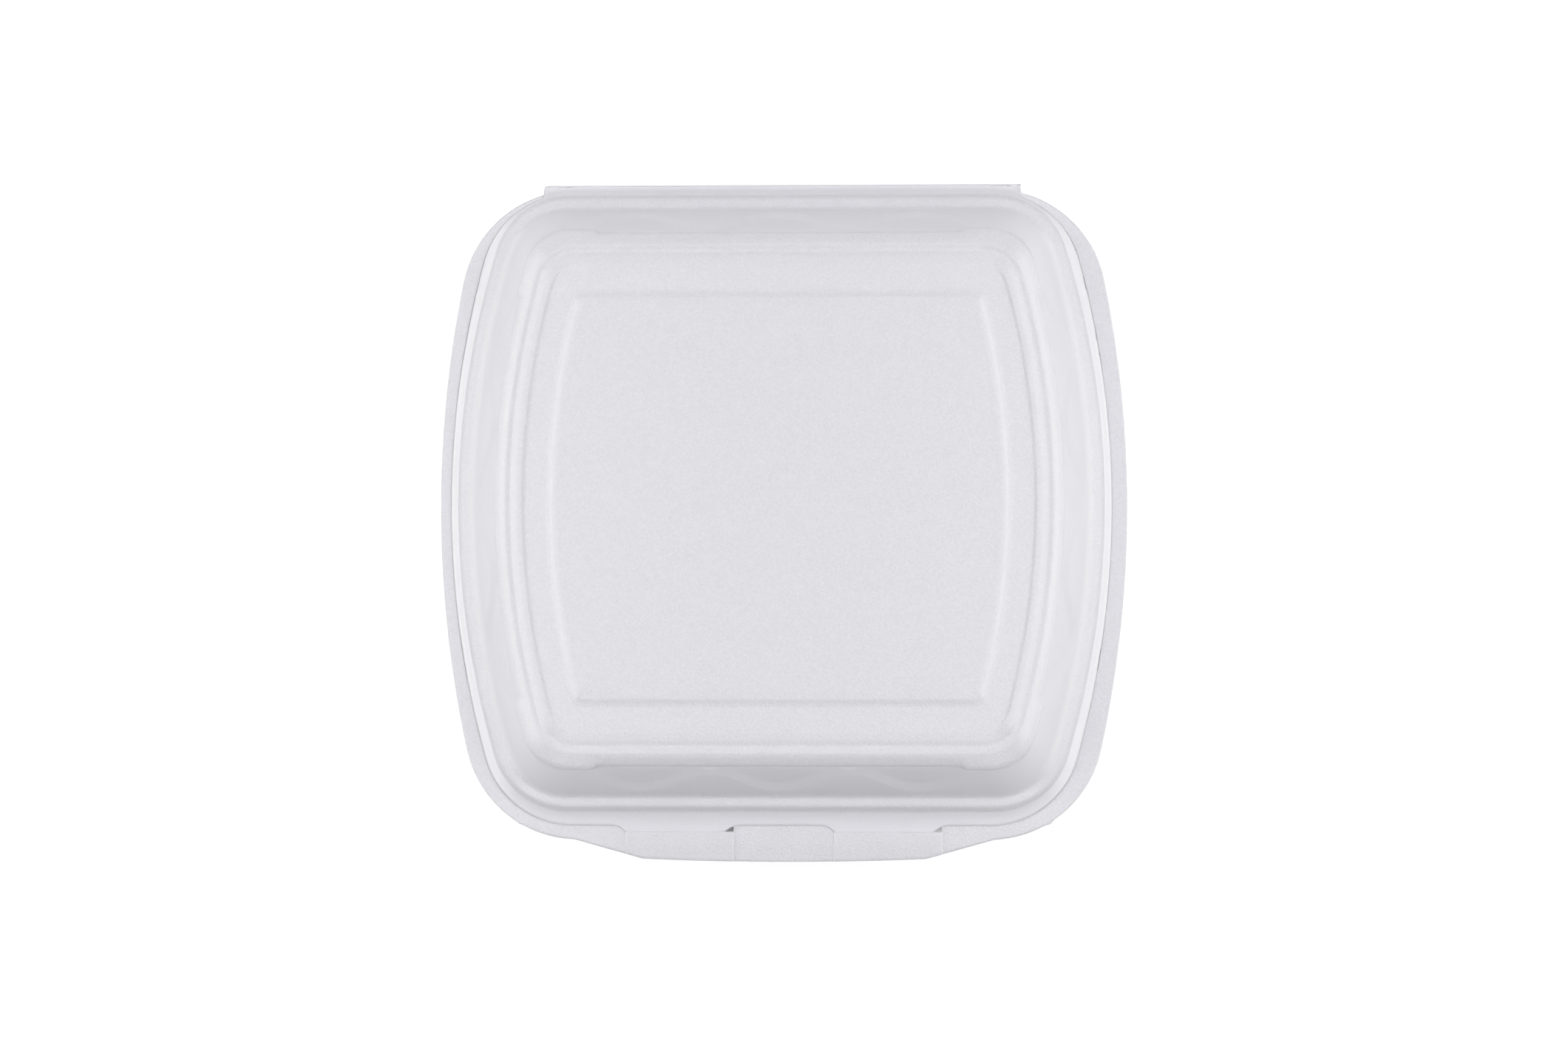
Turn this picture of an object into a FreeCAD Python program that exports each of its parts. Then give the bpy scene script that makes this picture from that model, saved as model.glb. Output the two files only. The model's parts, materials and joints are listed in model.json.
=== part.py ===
import FreeCAD, Part
import math
import os
import re

import Sketcher

# Foam clamshell food container, closed, in millimetres.
# One sheet of polystyrene foam is formed into a tray and a lid that share a living hinge at the back.
# The tray and the lid turn about that fold, so each is one thin-walled solid.
# Origin: middle of the tray's flat foot. +Z is up, the hinge is at +Y and the latch at -Y.

Vector = FreeCAD.Vector
UP = Vector(0, 0, 1)

SIZES = [
    # rim: the round-cornered outline that the lid's ring and the tray's mouth share
    ("rim_height", 45.0, "foot to the plane where the two flanges meet"),
    ("rim_half_width", 112.4, "half width of the lid at its groove, at the widest place"),
    ("rim_half_depth", 107.3, "half depth of the lid at its groove"),
    ("rim_corner", 26.0, "corner radius of the groove"),
    ("side_bow", 305.0, "radius of the bowed left and right sides at the groove"),
    # hinge
    ("fold_reach", 4.3, "groove to the fold line at the back"),
    ("fold_half_length", 83.5, "half length of the hinge strip"),
    ("fold_gap", 0.12, "each flange stops this far short of the fold line"),
    ("fold_thickness", 1.2, "thickness of the pressed hinge strip"),
    # lid flange
    ("lid_shift", 1.1, "the lid sits this far to the left on the tray"),
    ("lid_flange_side", 3.6, "width of the lid's flange at the sides"),
    ("lid_flange_front", 5.3, "width of the lid's flange at the front"),
    ("lid_flange_back", 1.4, "width of the lid's flange beside the hinge strip"),
    ("lid_flange_corner", 32.0, "corner radius of the lid's flange"),
    ("lid_flange_bow", 330.0, "bow radius of the lid flange's side edges"),
    ("lid_edge", 1.4, "thickness of the lid's flange at its edge"),
    ("groove_level", 1.7, "height of the groove above the flange plane"),
    # lid section from the groove to the middle of the top
    ("lid_sheet", 2.0, "thickness of the lid's foam sheet"),
    ("riser_run", 1.5, "inward run of the riser above the groove"),
    ("riser_rise", 2.7, "height of that riser"),
    ("ledge_width", 2.5, "width of the ledge on the ring"),
    ("ledge_slope", 0.4, "rise of the ledge across its width"),
    ("fillet_run", 1.1, "inward run of the fillet at the foot of the wall"),
    ("fillet_rise", 0.8, "rise of that fillet"),
    ("wall_run_side", 8.4, "inward lean of the side walls"),
    ("wall_run_end", 9.2, "inward lean of the front and back walls"),
    ("wall_rise", 21.0, "height of the lid's walls"),
    ("shoulder_corner", 16.5, "corner radius at the top of the walls"),
    ("shoulder_run", 1.7, "inward run of the rounded shoulder"),
    ("shoulder_rise", 1.3, "rise of the rounded shoulder"),
    ("crest_side", 2.2, "flat width of the bead on the shoulder at the sides"),
    ("crest_end", 4.4, "flat width of that bead at the front and back"),
    ("crest_crown", 0.15, "rise of that bead across its width"),
    ("valley_side", 2.4, "run down into the valley at the sides"),
    ("valley_end", 3.4, "run down into the valley at the front and back"),
    ("valley_drop", 1.2, "depth of the valley"),
    ("valley_corner", 13.0, "corner radius of the valley"),
    ("second_side", 2.6, "run up to the second bead at the sides"),
    ("second_end", 1.6, "run up to the second bead at the front and back"),
    ("second_rise", 1.3, "height of the second bead above the valley"),
    ("second_width_side", 2.1, "width of the second bead at the sides"),
    ("second_width_end", 1.4, "width of the second bead at the front and back"),
    ("second_fall", 0.2, "fall of the second bead towards the panel"),
    ("step_run", 0.5, "run of the step down to the panel"),
    ("step_drop", 1.0, "depth of the panel below the second bead"),
    ("panel_corner", 9.5, "corner radius of the panel"),
    ("margin_side", 7.8, "flat margin of the panel at the sides"),
    ("margin_end", 8.6, "flat margin of the panel at the front and back"),
    ("margin_crown", 0.1, "rise of that margin towards the middle"),
    ("emboss_run", 2.7, "width of the raised middle's slope"),
    ("emboss_rise", 0.6, "height of the raised middle"),
    ("emboss_corner", 4.5, "corner radius of the raised middle"),
    # recessed, wavy panels in the lid's walls
    ("wave_depth", 1.3, "depth of the wall panels"),
    ("wave_pitch", 48.0, "distance between two lobes of the wavy edge"),
    ("wave_low", 10.4, "level of the lobes above the flange plane"),
    ("wave_high", 23.2, "level of the hollows above the flange plane"),
    ("wave_jog_side", 69.5, "half length of the panels in the side walls at their top"),
    ("wave_jog_end", 62.7, "half length of the panels in the front and back walls at their top"),
    ("wave_grow", 1.2, "the panels are this much larger on the inside of the sheet"),
    # latch
    ("slot_inner", 17.6, "middle of the tray to the near end of each slot"),
    ("slot_length", 37.4, "length of each slot"),
    ("slot_depth", 3.8, "width of each slot from front to back"),
    ("slot_reach", 7.9, "groove to the outer edge of each slot"),
    ("tab_inner", 19.4, "middle of the lid to the near end of each tab"),
    ("tab_length", 34.1, "length of each tab"),
    ("tab_gap", 0.3, "gap between a tab's tip and the strap in front of it"),
    ("tab_corner", 2.0, "corner radius of each tab"),
    ("strap_raise", 1.3, "the straps stand this far above the flange"),
    ("strap_lap", 1.5, "length of the fold that joins a strap to the flange"),
    # tray flange
    ("tray_flange_side", 7.6, "width of the tray's flange outside the groove at the sides"),
    ("tray_flange_back", 2.7, "width of that flange at the back"),
    ("tray_flange_front", 10.7, "width of that flange at the front"),
    ("tray_flange_corner", 40.0, "corner radius of the tray's flange"),
    ("tray_flange_bow", 400.0, "bow radius of the tray flange's side edges"),
    ("tray_edge", 1.8, "thickness of the tray's flange"),
    ("lip_root_half", 93.0, "half width of the latch lip where it leaves the flange"),
    ("lip_tip_half", 49.5, "half width of the latch lip's front edge"),
    ("lip_root_reach", 5.1, "groove to the latch lip's root"),
    ("lip_tip_reach", 17.4, "groove to the ends of the latch lip's front edge"),
    ("lip_bow", 1.1, "bow of the latch lip's front edge"),
    # tray section
    ("tray_sheet", 2.2, "thickness of the tray's foam sheet"),
    ("bead_clearance", 0.6, "side clearance of the tray's rim bead in the lid's ring"),
    ("bead_headroom", 0.7, "clearance above the rim bead"),
    ("bead_run", 0.9, "inward run of the bead's outer face"),
    ("bead_width", 2.3, "width of the bead's top"),
    ("foot_half_width", 91.0, "half width of the flat foot"),
    ("foot_half_depth", 86.0, "half depth of the flat foot"),
    ("foot_corner", 22.0, "corner radius of the foot"),
    ("foot_round", 2.0, "outward run of the rounding above the foot"),
    ("foot_rise", 2.5, "height of that rounding"),
]

doc = FreeCAD.newDocument("foam_clamshell")
sheet = doc.addObject("Spreadsheet::Sheet", "sizes")
for row, (alias, value, meaning) in enumerate(SIZES, start=1):
    sheet.set("A%d" % row, alias)
    sheet.set("B%d" % row, str(value))
    sheet.set("C%d" % row, meaning)
    sheet.setAlias("B%d" % row, alias)
doc.recompute()

ALIASES = {alias for alias, _, _ in SIZES}


def bound(words):
    """The expression for a sum written with the sheet's own names."""
    return re.sub(r"[a-z_]+", lambda w: "sizes." + w.group() if w.group() in ALIASES else w.group(), words)


def value(words):
    """The number that such a sum gives now."""
    return float(sheet.evalExpression(bound(words)))


def total(*words):
    """Several sums added together, as one sum."""
    return " + ".join("(" + w + ")" for w in words)


def bind(thing, **places):
    """Tie an object's properties to sums of sizes. x, y and z stand for its place."""
    for name, words in places.items():
        path = ".Placement.Base." + name if name in "xyz" else name
        thing.setExpression(path, bound(words))


def tie(sketch, kind, items, words):
    """A dimension in a sketch, bound to a sum of sizes."""
    index = sketch.addConstraint(Sketcher.Constraint(kind, *items, value(words)))
    sketch.setExpression("Constraints[%d]" % index, bound(words))


def arc(x, y, radius, start, end):
    return Part.ArcOfCircle(Part.Circle(Vector(x, y, 0), UP, radius), start, end)


def line(x1, y1, x2, y2):
    return Part.LineSegment(Vector(x1, y1, 0), Vector(x2, y2, 0))


def ring(name, half_width, back, front, corner, bow, level):
    """A level outline: straight front and back, bowed sides, round corners, all tangent."""
    sketch = doc.addObject("Sketcher::SketchObject", name)
    wide = value(half_width)
    deep = value(back)
    fore = value(front)
    round_ = value(corner)
    sweep = value(bow)
    side = wide - sweep

    def corner_centre(reach):
        y = reach - round_
        x = side + math.sqrt((sweep - round_) ** 2 - y ** 2)
        return x, y, math.atan2(y, x - side)

    bx, by, bt = corner_centre(deep)
    fx, fy, ft = corner_centre(fore)
    sketch.addGeometry([
        line(-fx, -fore, fx, -fore),
        arc(fx, -fy, round_, -math.pi / 2, -ft),
        arc(side, 0, sweep, -ft, bt),
        arc(bx, by, round_, bt, math.pi / 2),
        line(bx, deep, -bx, deep),
        arc(-bx, by, round_, math.pi / 2, math.pi - bt),
        arc(-side, 0, sweep, math.pi - bt, math.pi + ft),
        arc(-fx, -fy, round_, math.pi + ft, 3 * math.pi / 2),
    ], False)
    widest = sketch.addGeometry(Part.Point(Vector(wide, 0, 0)), True)
    for edge in range(8):
        sketch.addConstraint(Sketcher.Constraint("Tangent", edge, 2, (edge + 1) % 8, 1))
    sketch.addConstraint(Sketcher.Constraint("Symmetric", 0, 1, 0, 2, -2))
    sketch.addConstraint(Sketcher.Constraint("Symmetric", 4, 1, 4, 2, -2))
    sketch.addConstraint(Sketcher.Constraint("PointOnObject", 2, 3, -1))
    sketch.addConstraint(Sketcher.Constraint("Equal", 2, 6))
    for other in (3, 5, 7):
        sketch.addConstraint(Sketcher.Constraint("Equal", 1, other))
    sketch.addConstraint(Sketcher.Constraint("PointOnObject", widest, 1, 2))
    sketch.addConstraint(Sketcher.Constraint("PointOnObject", widest, 1, -1))
    tie(sketch, "DistanceX", (-1, 1, widest, 1), half_width)
    tie(sketch, "DistanceY", (-1, 1, 4, 1), back)
    tie(sketch, "DistanceY", (0, 1, -1, 1), front)
    tie(sketch, "Radius", (1,), corner)
    tie(sketch, "Radius", (2,), bow)
    bind(sketch, z=level)
    return sketch


def inset_ring(name, side, end, corner, level):
    """A ring inside the groove's outline, by one inset at the sides and one at the ends."""
    wide = "rim_half_width - (" + side + ")"
    reach = "rim_half_depth - (" + end + ")"
    return ring(name, wide, reach, reach, corner, "side_bow - (" + side + ")", level)


def skin(name, rings):
    """A solid with straight rules from each ring to the next."""
    loft = doc.addObject("Part::Loft", name)
    loft.Sections = rings
    loft.Solid = True
    loft.Ruled = True
    return loft


def pad(name, sketch, forward, reverse="0"):
    """A sketch extruded along its normal."""
    solid = doc.addObject("Part::Extrusion", name)
    solid.Base = sketch
    solid.DirMode = "Normal"
    solid.Solid = True
    bind(solid, LengthFwd=forward, LengthRev=reverse)
    return solid


def block(name, x, y, z, length, width, height):
    box = doc.addObject("Part::Box", name)
    bind(box, x=x, y=y, z=z, Length=length, Width=width, Height=height)
    return box


def cut(name, base, tool):
    result = doc.addObject("Part::Cut", name)
    result.Base = base
    result.Tool = tool
    return result


def common(name, base, tool):
    result = doc.addObject("Part::Common", name)
    result.Base = base
    result.Tool = tool
    return result


def fuse(name, shapes):
    result = doc.addObject("Part::MultiFuse", name)
    result.Shapes = shapes
    return result


def wave_sketch(name, jog, drop, rotation):
    """The wavy outline of a wall panel, seen square on: three lobes down, open at the top.

    Each half wave is one arc. Its chord is half the pitch and its height half the wave's height.
    """
    sketch = doc.addObject("Sketcher::SketchObject", name)
    sketch.Placement = FreeCAD.Placement(Vector(0, 0, 0), rotation)
    middle = "(wave_low + wave_high) / 2 - " + drop
    rise = "(wave_high - wave_low) / 2"
    chord = "wave_pitch / 4"
    radius = "((" + chord + ")^2 + (" + rise + ")^2) / (wave_high - wave_low)"
    top = "groove_level + riser_rise + ledge_slope + fillet_rise + wall_rise"
    above = total(top, "wall_rise")
    mid = value(middle)
    height = value(rise)
    quarter = value(chord)
    round_ = value(radius)
    half_angle = math.asin(quarter / round_)
    for half_wave in range(5):
        x = (half_wave - 2) * 2 * quarter
        if half_wave % 2 == 0:
            sketch.addGeometry(arc(x, mid - height + round_, round_,
                                   -math.pi / 2 - half_angle, -math.pi / 2 + half_angle), False)
        else:
            sketch.addGeometry(arc(x, mid + height - round_, round_,
                                   math.pi / 2 - half_angle, math.pi / 2 + half_angle), False)
    end = 5 * quarter
    side = value(jog)
    low = value(top)
    high = value(above)
    sketch.addGeometry([
        line(end, mid, side, low),
        line(side, low, side, high),
        line(side, high, -side, high),
        line(-side, high, -side, low),
        line(-side, low, -end, mid),
    ], False)
    # an arc runs anticlockwise, so a lobe starts at its left and a hollow at its right
    left = [1, 2, 1, 2, 1]
    right = [2, 1, 2, 1, 2]
    for edge in range(4):
        joint = (edge, right[edge], edge + 1, left[edge + 1])
        sketch.addConstraint(Sketcher.Constraint("Coincident", *joint))
    sketch.addConstraint(Sketcher.Constraint("Coincident", 4, 2, 5, 1))
    for edge in range(5, 9):
        sketch.addConstraint(Sketcher.Constraint("Coincident", edge, 2, edge + 1, 1))
    sketch.addConstraint(Sketcher.Constraint("Coincident", 9, 2, 0, 1))
    for pair in ((4, 2, 0, 1), (4, 1, 0, 2), (2, 2, 2, 1), (5, 2, 9, 1), (7, 1, 7, 2)):
        sketch.addConstraint(Sketcher.Constraint("Symmetric", *pair, -2))
    for other in range(1, 5):
        sketch.addConstraint(Sketcher.Constraint("Equal", 0, other))
    tie(sketch, "Radius", (0,), radius)
    for edge, corner, x, y in ((2, 2, chord, middle), (4, 1, "3 * " + chord, middle),
                               (4, 2, "5 * " + chord, middle), (5, 2, jog, top), (7, 1, jog, above)):
        tie(sketch, "DistanceX", (-1, 1, edge, corner), x)
        tie(sketch, "DistanceY", (-1, 1, edge, corner), y)
    return sketch


def wave_panels(name, grow):
    """Prisms through the lid with the wavy outlines of its four wall panels."""
    across = FreeCAD.Rotation(Vector(1, 0, 0), 90)
    along = FreeCAD.Rotation(Vector(0, 1, 0), UP, Vector(1, 0, 0))
    ends = wave_sketch(name + "_ends_outline", total("wave_jog_end", grow), grow, across)
    sides = wave_sketch(name + "_sides_outline", total("wave_jog_side", grow), grow, along)
    return fuse(name, [
        pad(name + "_ends", ends, "2 * rim_half_depth", "2 * rim_half_depth"),
        pad(name + "_sides", sides, "2 * rim_half_width", "2 * rim_half_width"),
    ])


def wall_core(name, side, end, foot, corner):
    """What stays inside the recessed panels: the wall's own slope, moved in and carried past both ends."""
    over = "wall_rise / 4"
    lean_side = "wall_run_side / 4"
    lean_end = "wall_run_end / 4"
    low = inset_ring(name + "_low", total(side, "wave_depth - " + lean_side),
                     total(end, "wave_depth - " + lean_end), corner, foot + " - " + over)
    high = inset_ring(name + "_high", total(side, "wave_depth + wall_run_side + " + lean_side),
                      total(end, "wave_depth + wall_run_end + " + lean_end), corner,
                      total(foot, "wall_rise", over))
    return skin(name, [low, high])


def rounded_plate(name, x, y, z, length, width, thickness, corner):
    """A level plate with four round corners, placed by its left front corner."""
    sketch = doc.addObject("Sketcher::SketchObject", name + "_outline")
    a = value(length)
    b = value(width)
    r = value(corner)
    quarter = math.pi / 2
    sketch.addGeometry([
        line(r, 0, a - r, 0),
        arc(a - r, r, r, -quarter, 0),
        line(a, r, a, b - r),
        arc(a - r, b - r, r, 0, quarter),
        line(a - r, b, r, b),
        arc(r, b - r, r, quarter, 2 * quarter),
        line(0, b - r, 0, r),
        arc(r, r, r, 2 * quarter, 3 * quarter),
    ], False)
    for edge in range(8):
        sketch.addConstraint(Sketcher.Constraint("Tangent", edge, 2, (edge + 1) % 8, 1))
    for edge in (0, 4):
        sketch.addConstraint(Sketcher.Constraint("Horizontal", edge))
    for edge in (2, 6):
        sketch.addConstraint(Sketcher.Constraint("Vertical", edge))
    for other in (3, 5, 7):
        sketch.addConstraint(Sketcher.Constraint("Equal", 1, other))
    tie(sketch, "Radius", (1,), corner)
    sketch.addConstraint(Sketcher.Constraint("PointOnObject", 0, 1, -1))
    sketch.addConstraint(Sketcher.Constraint("PointOnObject", 6, 1, -2))
    tie(sketch, "DistanceX", (-1, 1, 2, 1), length)
    tie(sketch, "DistanceY", (-1, 1, 4, 1), width)
    bind(sketch, x=x, y=y, z=z)
    return pad(name, sketch, thickness)


# Lid, drawn with its flange's underside at level 0.
# Each station is the run from the last one at the sides and the ends, the rise, and the corner radius.
LID_STATIONS = [
    ("groove", "0", "0", "groove_level", "rim_corner"),
    ("ledge_edge", "riser_run", "riser_run", "riser_rise", "rim_corner - riser_run"),
    ("ledge_inner", "ledge_width", "ledge_width", "ledge_slope", "rim_corner - riser_run - ledge_width"),
    ("wall_foot", "fillet_run", "fillet_run", "fillet_rise",
     "rim_corner - riser_run - ledge_width - fillet_run"),
    ("wall_top", "wall_run_side", "wall_run_end", "wall_rise", "shoulder_corner"),
    ("crest_outer", "shoulder_run", "shoulder_run", "shoulder_rise", "shoulder_corner - shoulder_run / 2"),
    ("crest_inner", "crest_side", "crest_end", "crest_crown", "(shoulder_corner + valley_corner) / 2"),
    ("valley", "valley_side", "valley_end", "-valley_drop", "valley_corner"),
    ("second_outer", "second_side", "second_end", "second_rise", "(valley_corner + panel_corner) / 2"),
    ("second_inner", "second_width_side", "second_width_end", "-second_fall", "panel_corner + step_run"),
    ("panel", "step_run", "step_run", "-step_drop", "panel_corner"),
    ("emboss_foot", "margin_side", "margin_end", "margin_crown", "emboss_corner"),
    ("emboss_top", "emboss_run", "emboss_run", "emboss_rise", "emboss_corner * 2 / 3"),
]
# the inside follows these and passes straight under the second bead
INNER_STATIONS = ("groove", "ledge_edge", "ledge_inner", "wall_foot", "wall_top", "crest_outer",
                  "crest_inner", "valley", "emboss_foot", "emboss_top")

# moving the outer face down by the sheet and in by this run leaves the walls as thick as the flats
LID_SKIN_RUN = "lid_sheet * (sqrt(wall_run_side^2 + wall_rise^2) - wall_run_side) / wall_rise"

lid_edge_outline = ("rim_half_width + lid_flange_side", "rim_half_depth + lid_flange_back",
                    "rim_half_depth + lid_flange_front", "lid_flange_corner", "lid_flange_bow")
outer_rings = [
    ring("lid_edge_low", *lid_edge_outline, "0"),
    ring("lid_edge_top", *lid_edge_outline, "lid_edge"),
]
inner_rings = []
run_side = "0"
run_end = "0"
climb = "0"
levels = {}
runs = {}
for station, side, end, rise, corner in LID_STATIONS:
    run_side = total(run_side, side) if side != "0" else run_side
    run_end = total(run_end, end) if end != "0" else run_end
    climb = total(climb, rise)
    levels[station] = climb
    runs[station] = (run_side, run_end)
    outer_rings.append(inset_ring("outer_" + station, run_side, run_end, corner, climb))
    if station in INNER_STATIONS:
        inner_rings.append(inset_ring("inner_" + station, total(run_side, LID_SKIN_RUN),
                                      total(run_end, LID_SKIN_RUN), corner, climb + " - lid_sheet"))

lid_body = skin("lid_body", outer_rings)
lid_room = skin("lid_room", inner_rings)
foot_side, foot_end = runs["wall_foot"]
outer_core = wall_core("outer_core", foot_side, foot_end, levels["wall_foot"], "shoulder_corner")
inner_core = wall_core("inner_core", total(foot_side, LID_SKIN_RUN), total(foot_end, LID_SKIN_RUN),
                       levels["wall_foot"] + " - lid_sheet", "shoulder_corner")
outer_recess = cut("outer_recess", wave_panels("outer_waves", "0"), outer_core)
inner_recess = cut("inner_recess", wave_panels("inner_waves", "wave_grow"), inner_core)

lid_strip = block("lid_hinge_strip", "-fold_half_length", "rim_half_depth", "0",
                  "2 * fold_half_length", "fold_reach - fold_gap", "fold_thickness")

TAB_ROOT = "rim_half_depth + lid_flange_front / 2"
TAB_TIP = "rim_half_depth + slot_reach - tab_gap"
lid_tabs = []
for hand, start in (("left", "-tab_inner - tab_length"), ("right", "tab_inner")):
    lid_tabs.append(rounded_plate("lid_tab_" + hand, start, "-(" + TAB_TIP + ")", "0", "tab_length",
                                  TAB_TIP + " - (" + TAB_ROOT + ")", "lid_edge", "tab_corner"))

lid = cut("lid", fuse("lid_outside", [cut("lid_waved", lid_body, outer_recess), lid_strip] + lid_tabs),
          cut("lid_inside", lid_room, inner_recess))
lid.Label = "lid"
bind(lid, x="-lid_shift", z="rim_height")

# Tray, drawn in its own place.
tray_flange = pad("tray_flange", ring(
    "tray_edge_outline", "rim_half_width + tray_flange_side", "rim_half_depth + tray_flange_back",
    "rim_half_depth + tray_flange_front", "tray_flange_corner", "tray_flange_bow",
    "rim_height - tray_edge"), "tray_edge")
tray_strip = block("tray_hinge_strip", "-fold_half_length", "rim_half_depth", "rim_height - fold_thickness",
                   "2 * fold_half_length", "fold_reach - fold_gap", "fold_thickness")


def lip_outline(name, level):
    """The latch lip in front of the tray: slanted ends and a gently bowed front edge."""
    sketch = doc.addObject("Sketcher::SketchObject", name)
    root = "rim_half_depth + lip_root_reach"
    tip = "rim_half_depth + lip_tip_reach"
    radius = "(lip_tip_half^2 + lip_bow^2) / (2 * lip_bow)"
    half = value("lip_tip_half")
    wide = value("lip_root_half")
    near = -value(root)
    far = -value(tip)
    sweep = value(radius)
    lean = math.asin(half / sweep)
    sketch.addGeometry([
        line(wide, near, -wide, near),
        line(-wide, near, -half, far),
        arc(0, far - value("lip_bow") + sweep, sweep, -math.pi / 2 - lean, -math.pi / 2 + lean),
        line(half, far, wide, near),
    ], False)
    for edge in range(4):
        sketch.addConstraint(Sketcher.Constraint("Coincident", edge, 2, (edge + 1) % 4, 1))
    sketch.addConstraint(Sketcher.Constraint("Symmetric", 0, 1, 0, 2, -2))
    sketch.addConstraint(Sketcher.Constraint("Symmetric", 2, 1, 2, 2, -2))
    tie(sketch, "DistanceX", (-1, 1, 0, 1), "lip_root_half")
    tie(sketch, "DistanceY", (0, 1, -1, 1), root)
    tie(sketch, "DistanceX", (-1, 1, 3, 1), "lip_tip_half")
    tie(sketch, "DistanceY", (3, 1, -1, 1), tip)
    tie(sketch, "Radius", (2,), radius)
    bind(sketch, z=level)
    return sketch


STRAP_EDGE = "rim_half_depth + slot_reach"
STRAP_WIDTH = "lip_tip_reach + lip_bow"
slots = []
strap_spaces = []
strap_blocks = []
for hand, start in (("left", "-slot_inner - slot_length"), ("right", "slot_inner")):
    slots.append(block("slot_" + hand, start, "-(" + STRAP_EDGE + ")", "rim_height - 2 * tray_edge",
                       "slot_length", "slot_depth", "3 * tray_edge"))
    strap_spaces.append(block("strap_space_" + hand, start, "-(" + STRAP_EDGE + " + " + STRAP_WIDTH + ")",
                              "rim_height - 2 * tray_edge", "slot_length", STRAP_WIDTH, "3 * tray_edge"))
    strap_blocks.append(block("strap_block_" + hand, start + " - strap_lap",
                              "-(" + STRAP_EDGE + " + " + STRAP_WIDTH + ")", "rim_height - tray_edge",
                              "slot_length + 2 * strap_lap", STRAP_WIDTH, "3 * tray_edge"))
lip = pad("latch_lip", lip_outline("lip_outline", "rim_height - tray_edge"), "tray_edge")
raised_lip = pad("raised_lip", lip_outline("raised_lip_outline", "rim_height - tray_edge + strap_raise"),
                 "tray_edge")
flange_front = cut("flange_front", fuse("flange_plate", [tray_flange, lip]),
                   fuse("latch_openings", slots + strap_spaces))
raised_plate = fuse("raised_plate", [raised_lip, pad("raised_flange", ring(
    "raised_flange_outline", "rim_half_width + tray_flange_side", "rim_half_depth + tray_flange_back",
    "rim_half_depth + tray_flange_front", "tray_flange_corner", "tray_flange_bow",
    "rim_height - tray_edge + strap_raise"), "tray_edge")])
straps = common("straps", raised_plate, fuse("strap_blocks", strap_blocks))

# rim bead that the lid's ring closes over; its outline is taken in from the lid's inner face
BEAD_IN = LID_SKIN_RUN + " + lid_shift + bead_clearance"
MOUTH_IN = total(BEAD_IN, "bead_run + bead_width")
BEAD_TOP = "rim_height + groove_level + riser_rise - lid_sheet - bead_headroom"
rim_bead = skin("rim_bead", [
    inset_ring("bead_foot", BEAD_IN, BEAD_IN, "rim_corner - riser_run", "rim_height - tray_edge / 2"),
    inset_ring("bead_edge", BEAD_IN, BEAD_IN, "rim_corner - riser_run", "rim_height"),
    inset_ring("bead_top", total(BEAD_IN, "bead_run"), total(BEAD_IN, "bead_run"),
               "rim_corner - riser_run - bead_run", BEAD_TOP),
])

TRAY_RISE = "(rim_height - foot_rise)"
LEAN = "(rim_half_width - (" + MOUTH_IN + ") - foot_half_width - foot_round)"
SLOPE = "sqrt(" + LEAN + "^2 + " + TRAY_RISE + "^2)"
TRAY_SKIN_RUN = "tray_sheet * (" + SLOPE + " - " + LEAN + ") / " + TRAY_RISE
WALL_ACROSS = "tray_sheet * " + SLOPE + " / " + TRAY_RISE


def foot_ring(name, outward, corner, level):
    """A ring of the foot's outline, moved outward."""
    reach = total("foot_half_depth", outward)
    return ring(name, total("foot_half_width", outward), reach, reach, corner,
                "side_bow - rim_half_width + foot_half_width", level)


tray_body = skin("tray_body", [
    foot_ring("foot", "0", "foot_corner", "0"),
    foot_ring("foot_edge", "foot_round", "foot_corner + foot_round", "foot_rise"),
    inset_ring("wall_head", MOUTH_IN + " - " + WALL_ACROSS, MOUTH_IN + " - " + WALL_ACROSS,
               "rim_corner - riser_run", "rim_height"),
])
MOUTH_CORNER = "rim_corner - riser_run - bead_run - bead_width"
tray_room = skin("tray_room", [
    foot_ring("floor", "-(" + TRAY_SKIN_RUN + ")", "foot_corner", "tray_sheet"),
    foot_ring("floor_edge", "foot_round - (" + TRAY_SKIN_RUN + ")", "foot_corner + foot_round",
              "foot_rise + tray_sheet"),
    inset_ring("mouth", MOUTH_IN, MOUTH_IN, MOUTH_CORNER, "rim_height"),
    inset_ring("mouth_top", MOUTH_IN, MOUTH_IN, MOUTH_CORNER, BEAD_TOP + " + bead_headroom"),
])
base_tray = cut("base_tray", fuse("tray_outside", [tray_body, flange_front, straps, tray_strip, rim_bead]),
                tray_room)
base_tray.Label = "base_tray"
base_tray.Placement = FreeCAD.Placement()

doc.recompute()
for thing in doc.Objects:
    if "Invalid" in thing.State or "Error" in thing.State:
        raise RuntimeError("%s: %s" % (thing.Name, thing.State))

os.makedirs("parts", exist_ok=True)
for piece in (base_tray, lid):
    shape = piece.Shape
    if shape.isNull() or not shape.isValid() or len(shape.Solids) != 1:
        raise RuntimeError("%s is not one sound solid" % piece.Label)
    box = shape.optimalBoundingBox(False)
    print("%s: volume %.0f, x %.2f to %.2f, y %.2f to %.2f, z %.2f to %.2f" % (
        piece.Label, shape.Volume, box.XMin, box.XMax, box.YMin, box.YMax, box.ZMin, box.ZMax))
    shape.exportStep("parts/%s.step" % piece.Label)
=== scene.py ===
# %% [markdown]
# A hinged foam food container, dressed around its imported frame.
#
# The real thing is one sheet of white polystyrene foam. The sheet is warmed, drawn over a mould and
# trimmed, so every edge is soft, the thickness is even and one skin runs from the lid over the fold
# into the tray. This lesson rebuilds the two halves as two closed skins, each one surface worked out
# with numpy, and gives them one foam material.

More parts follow.
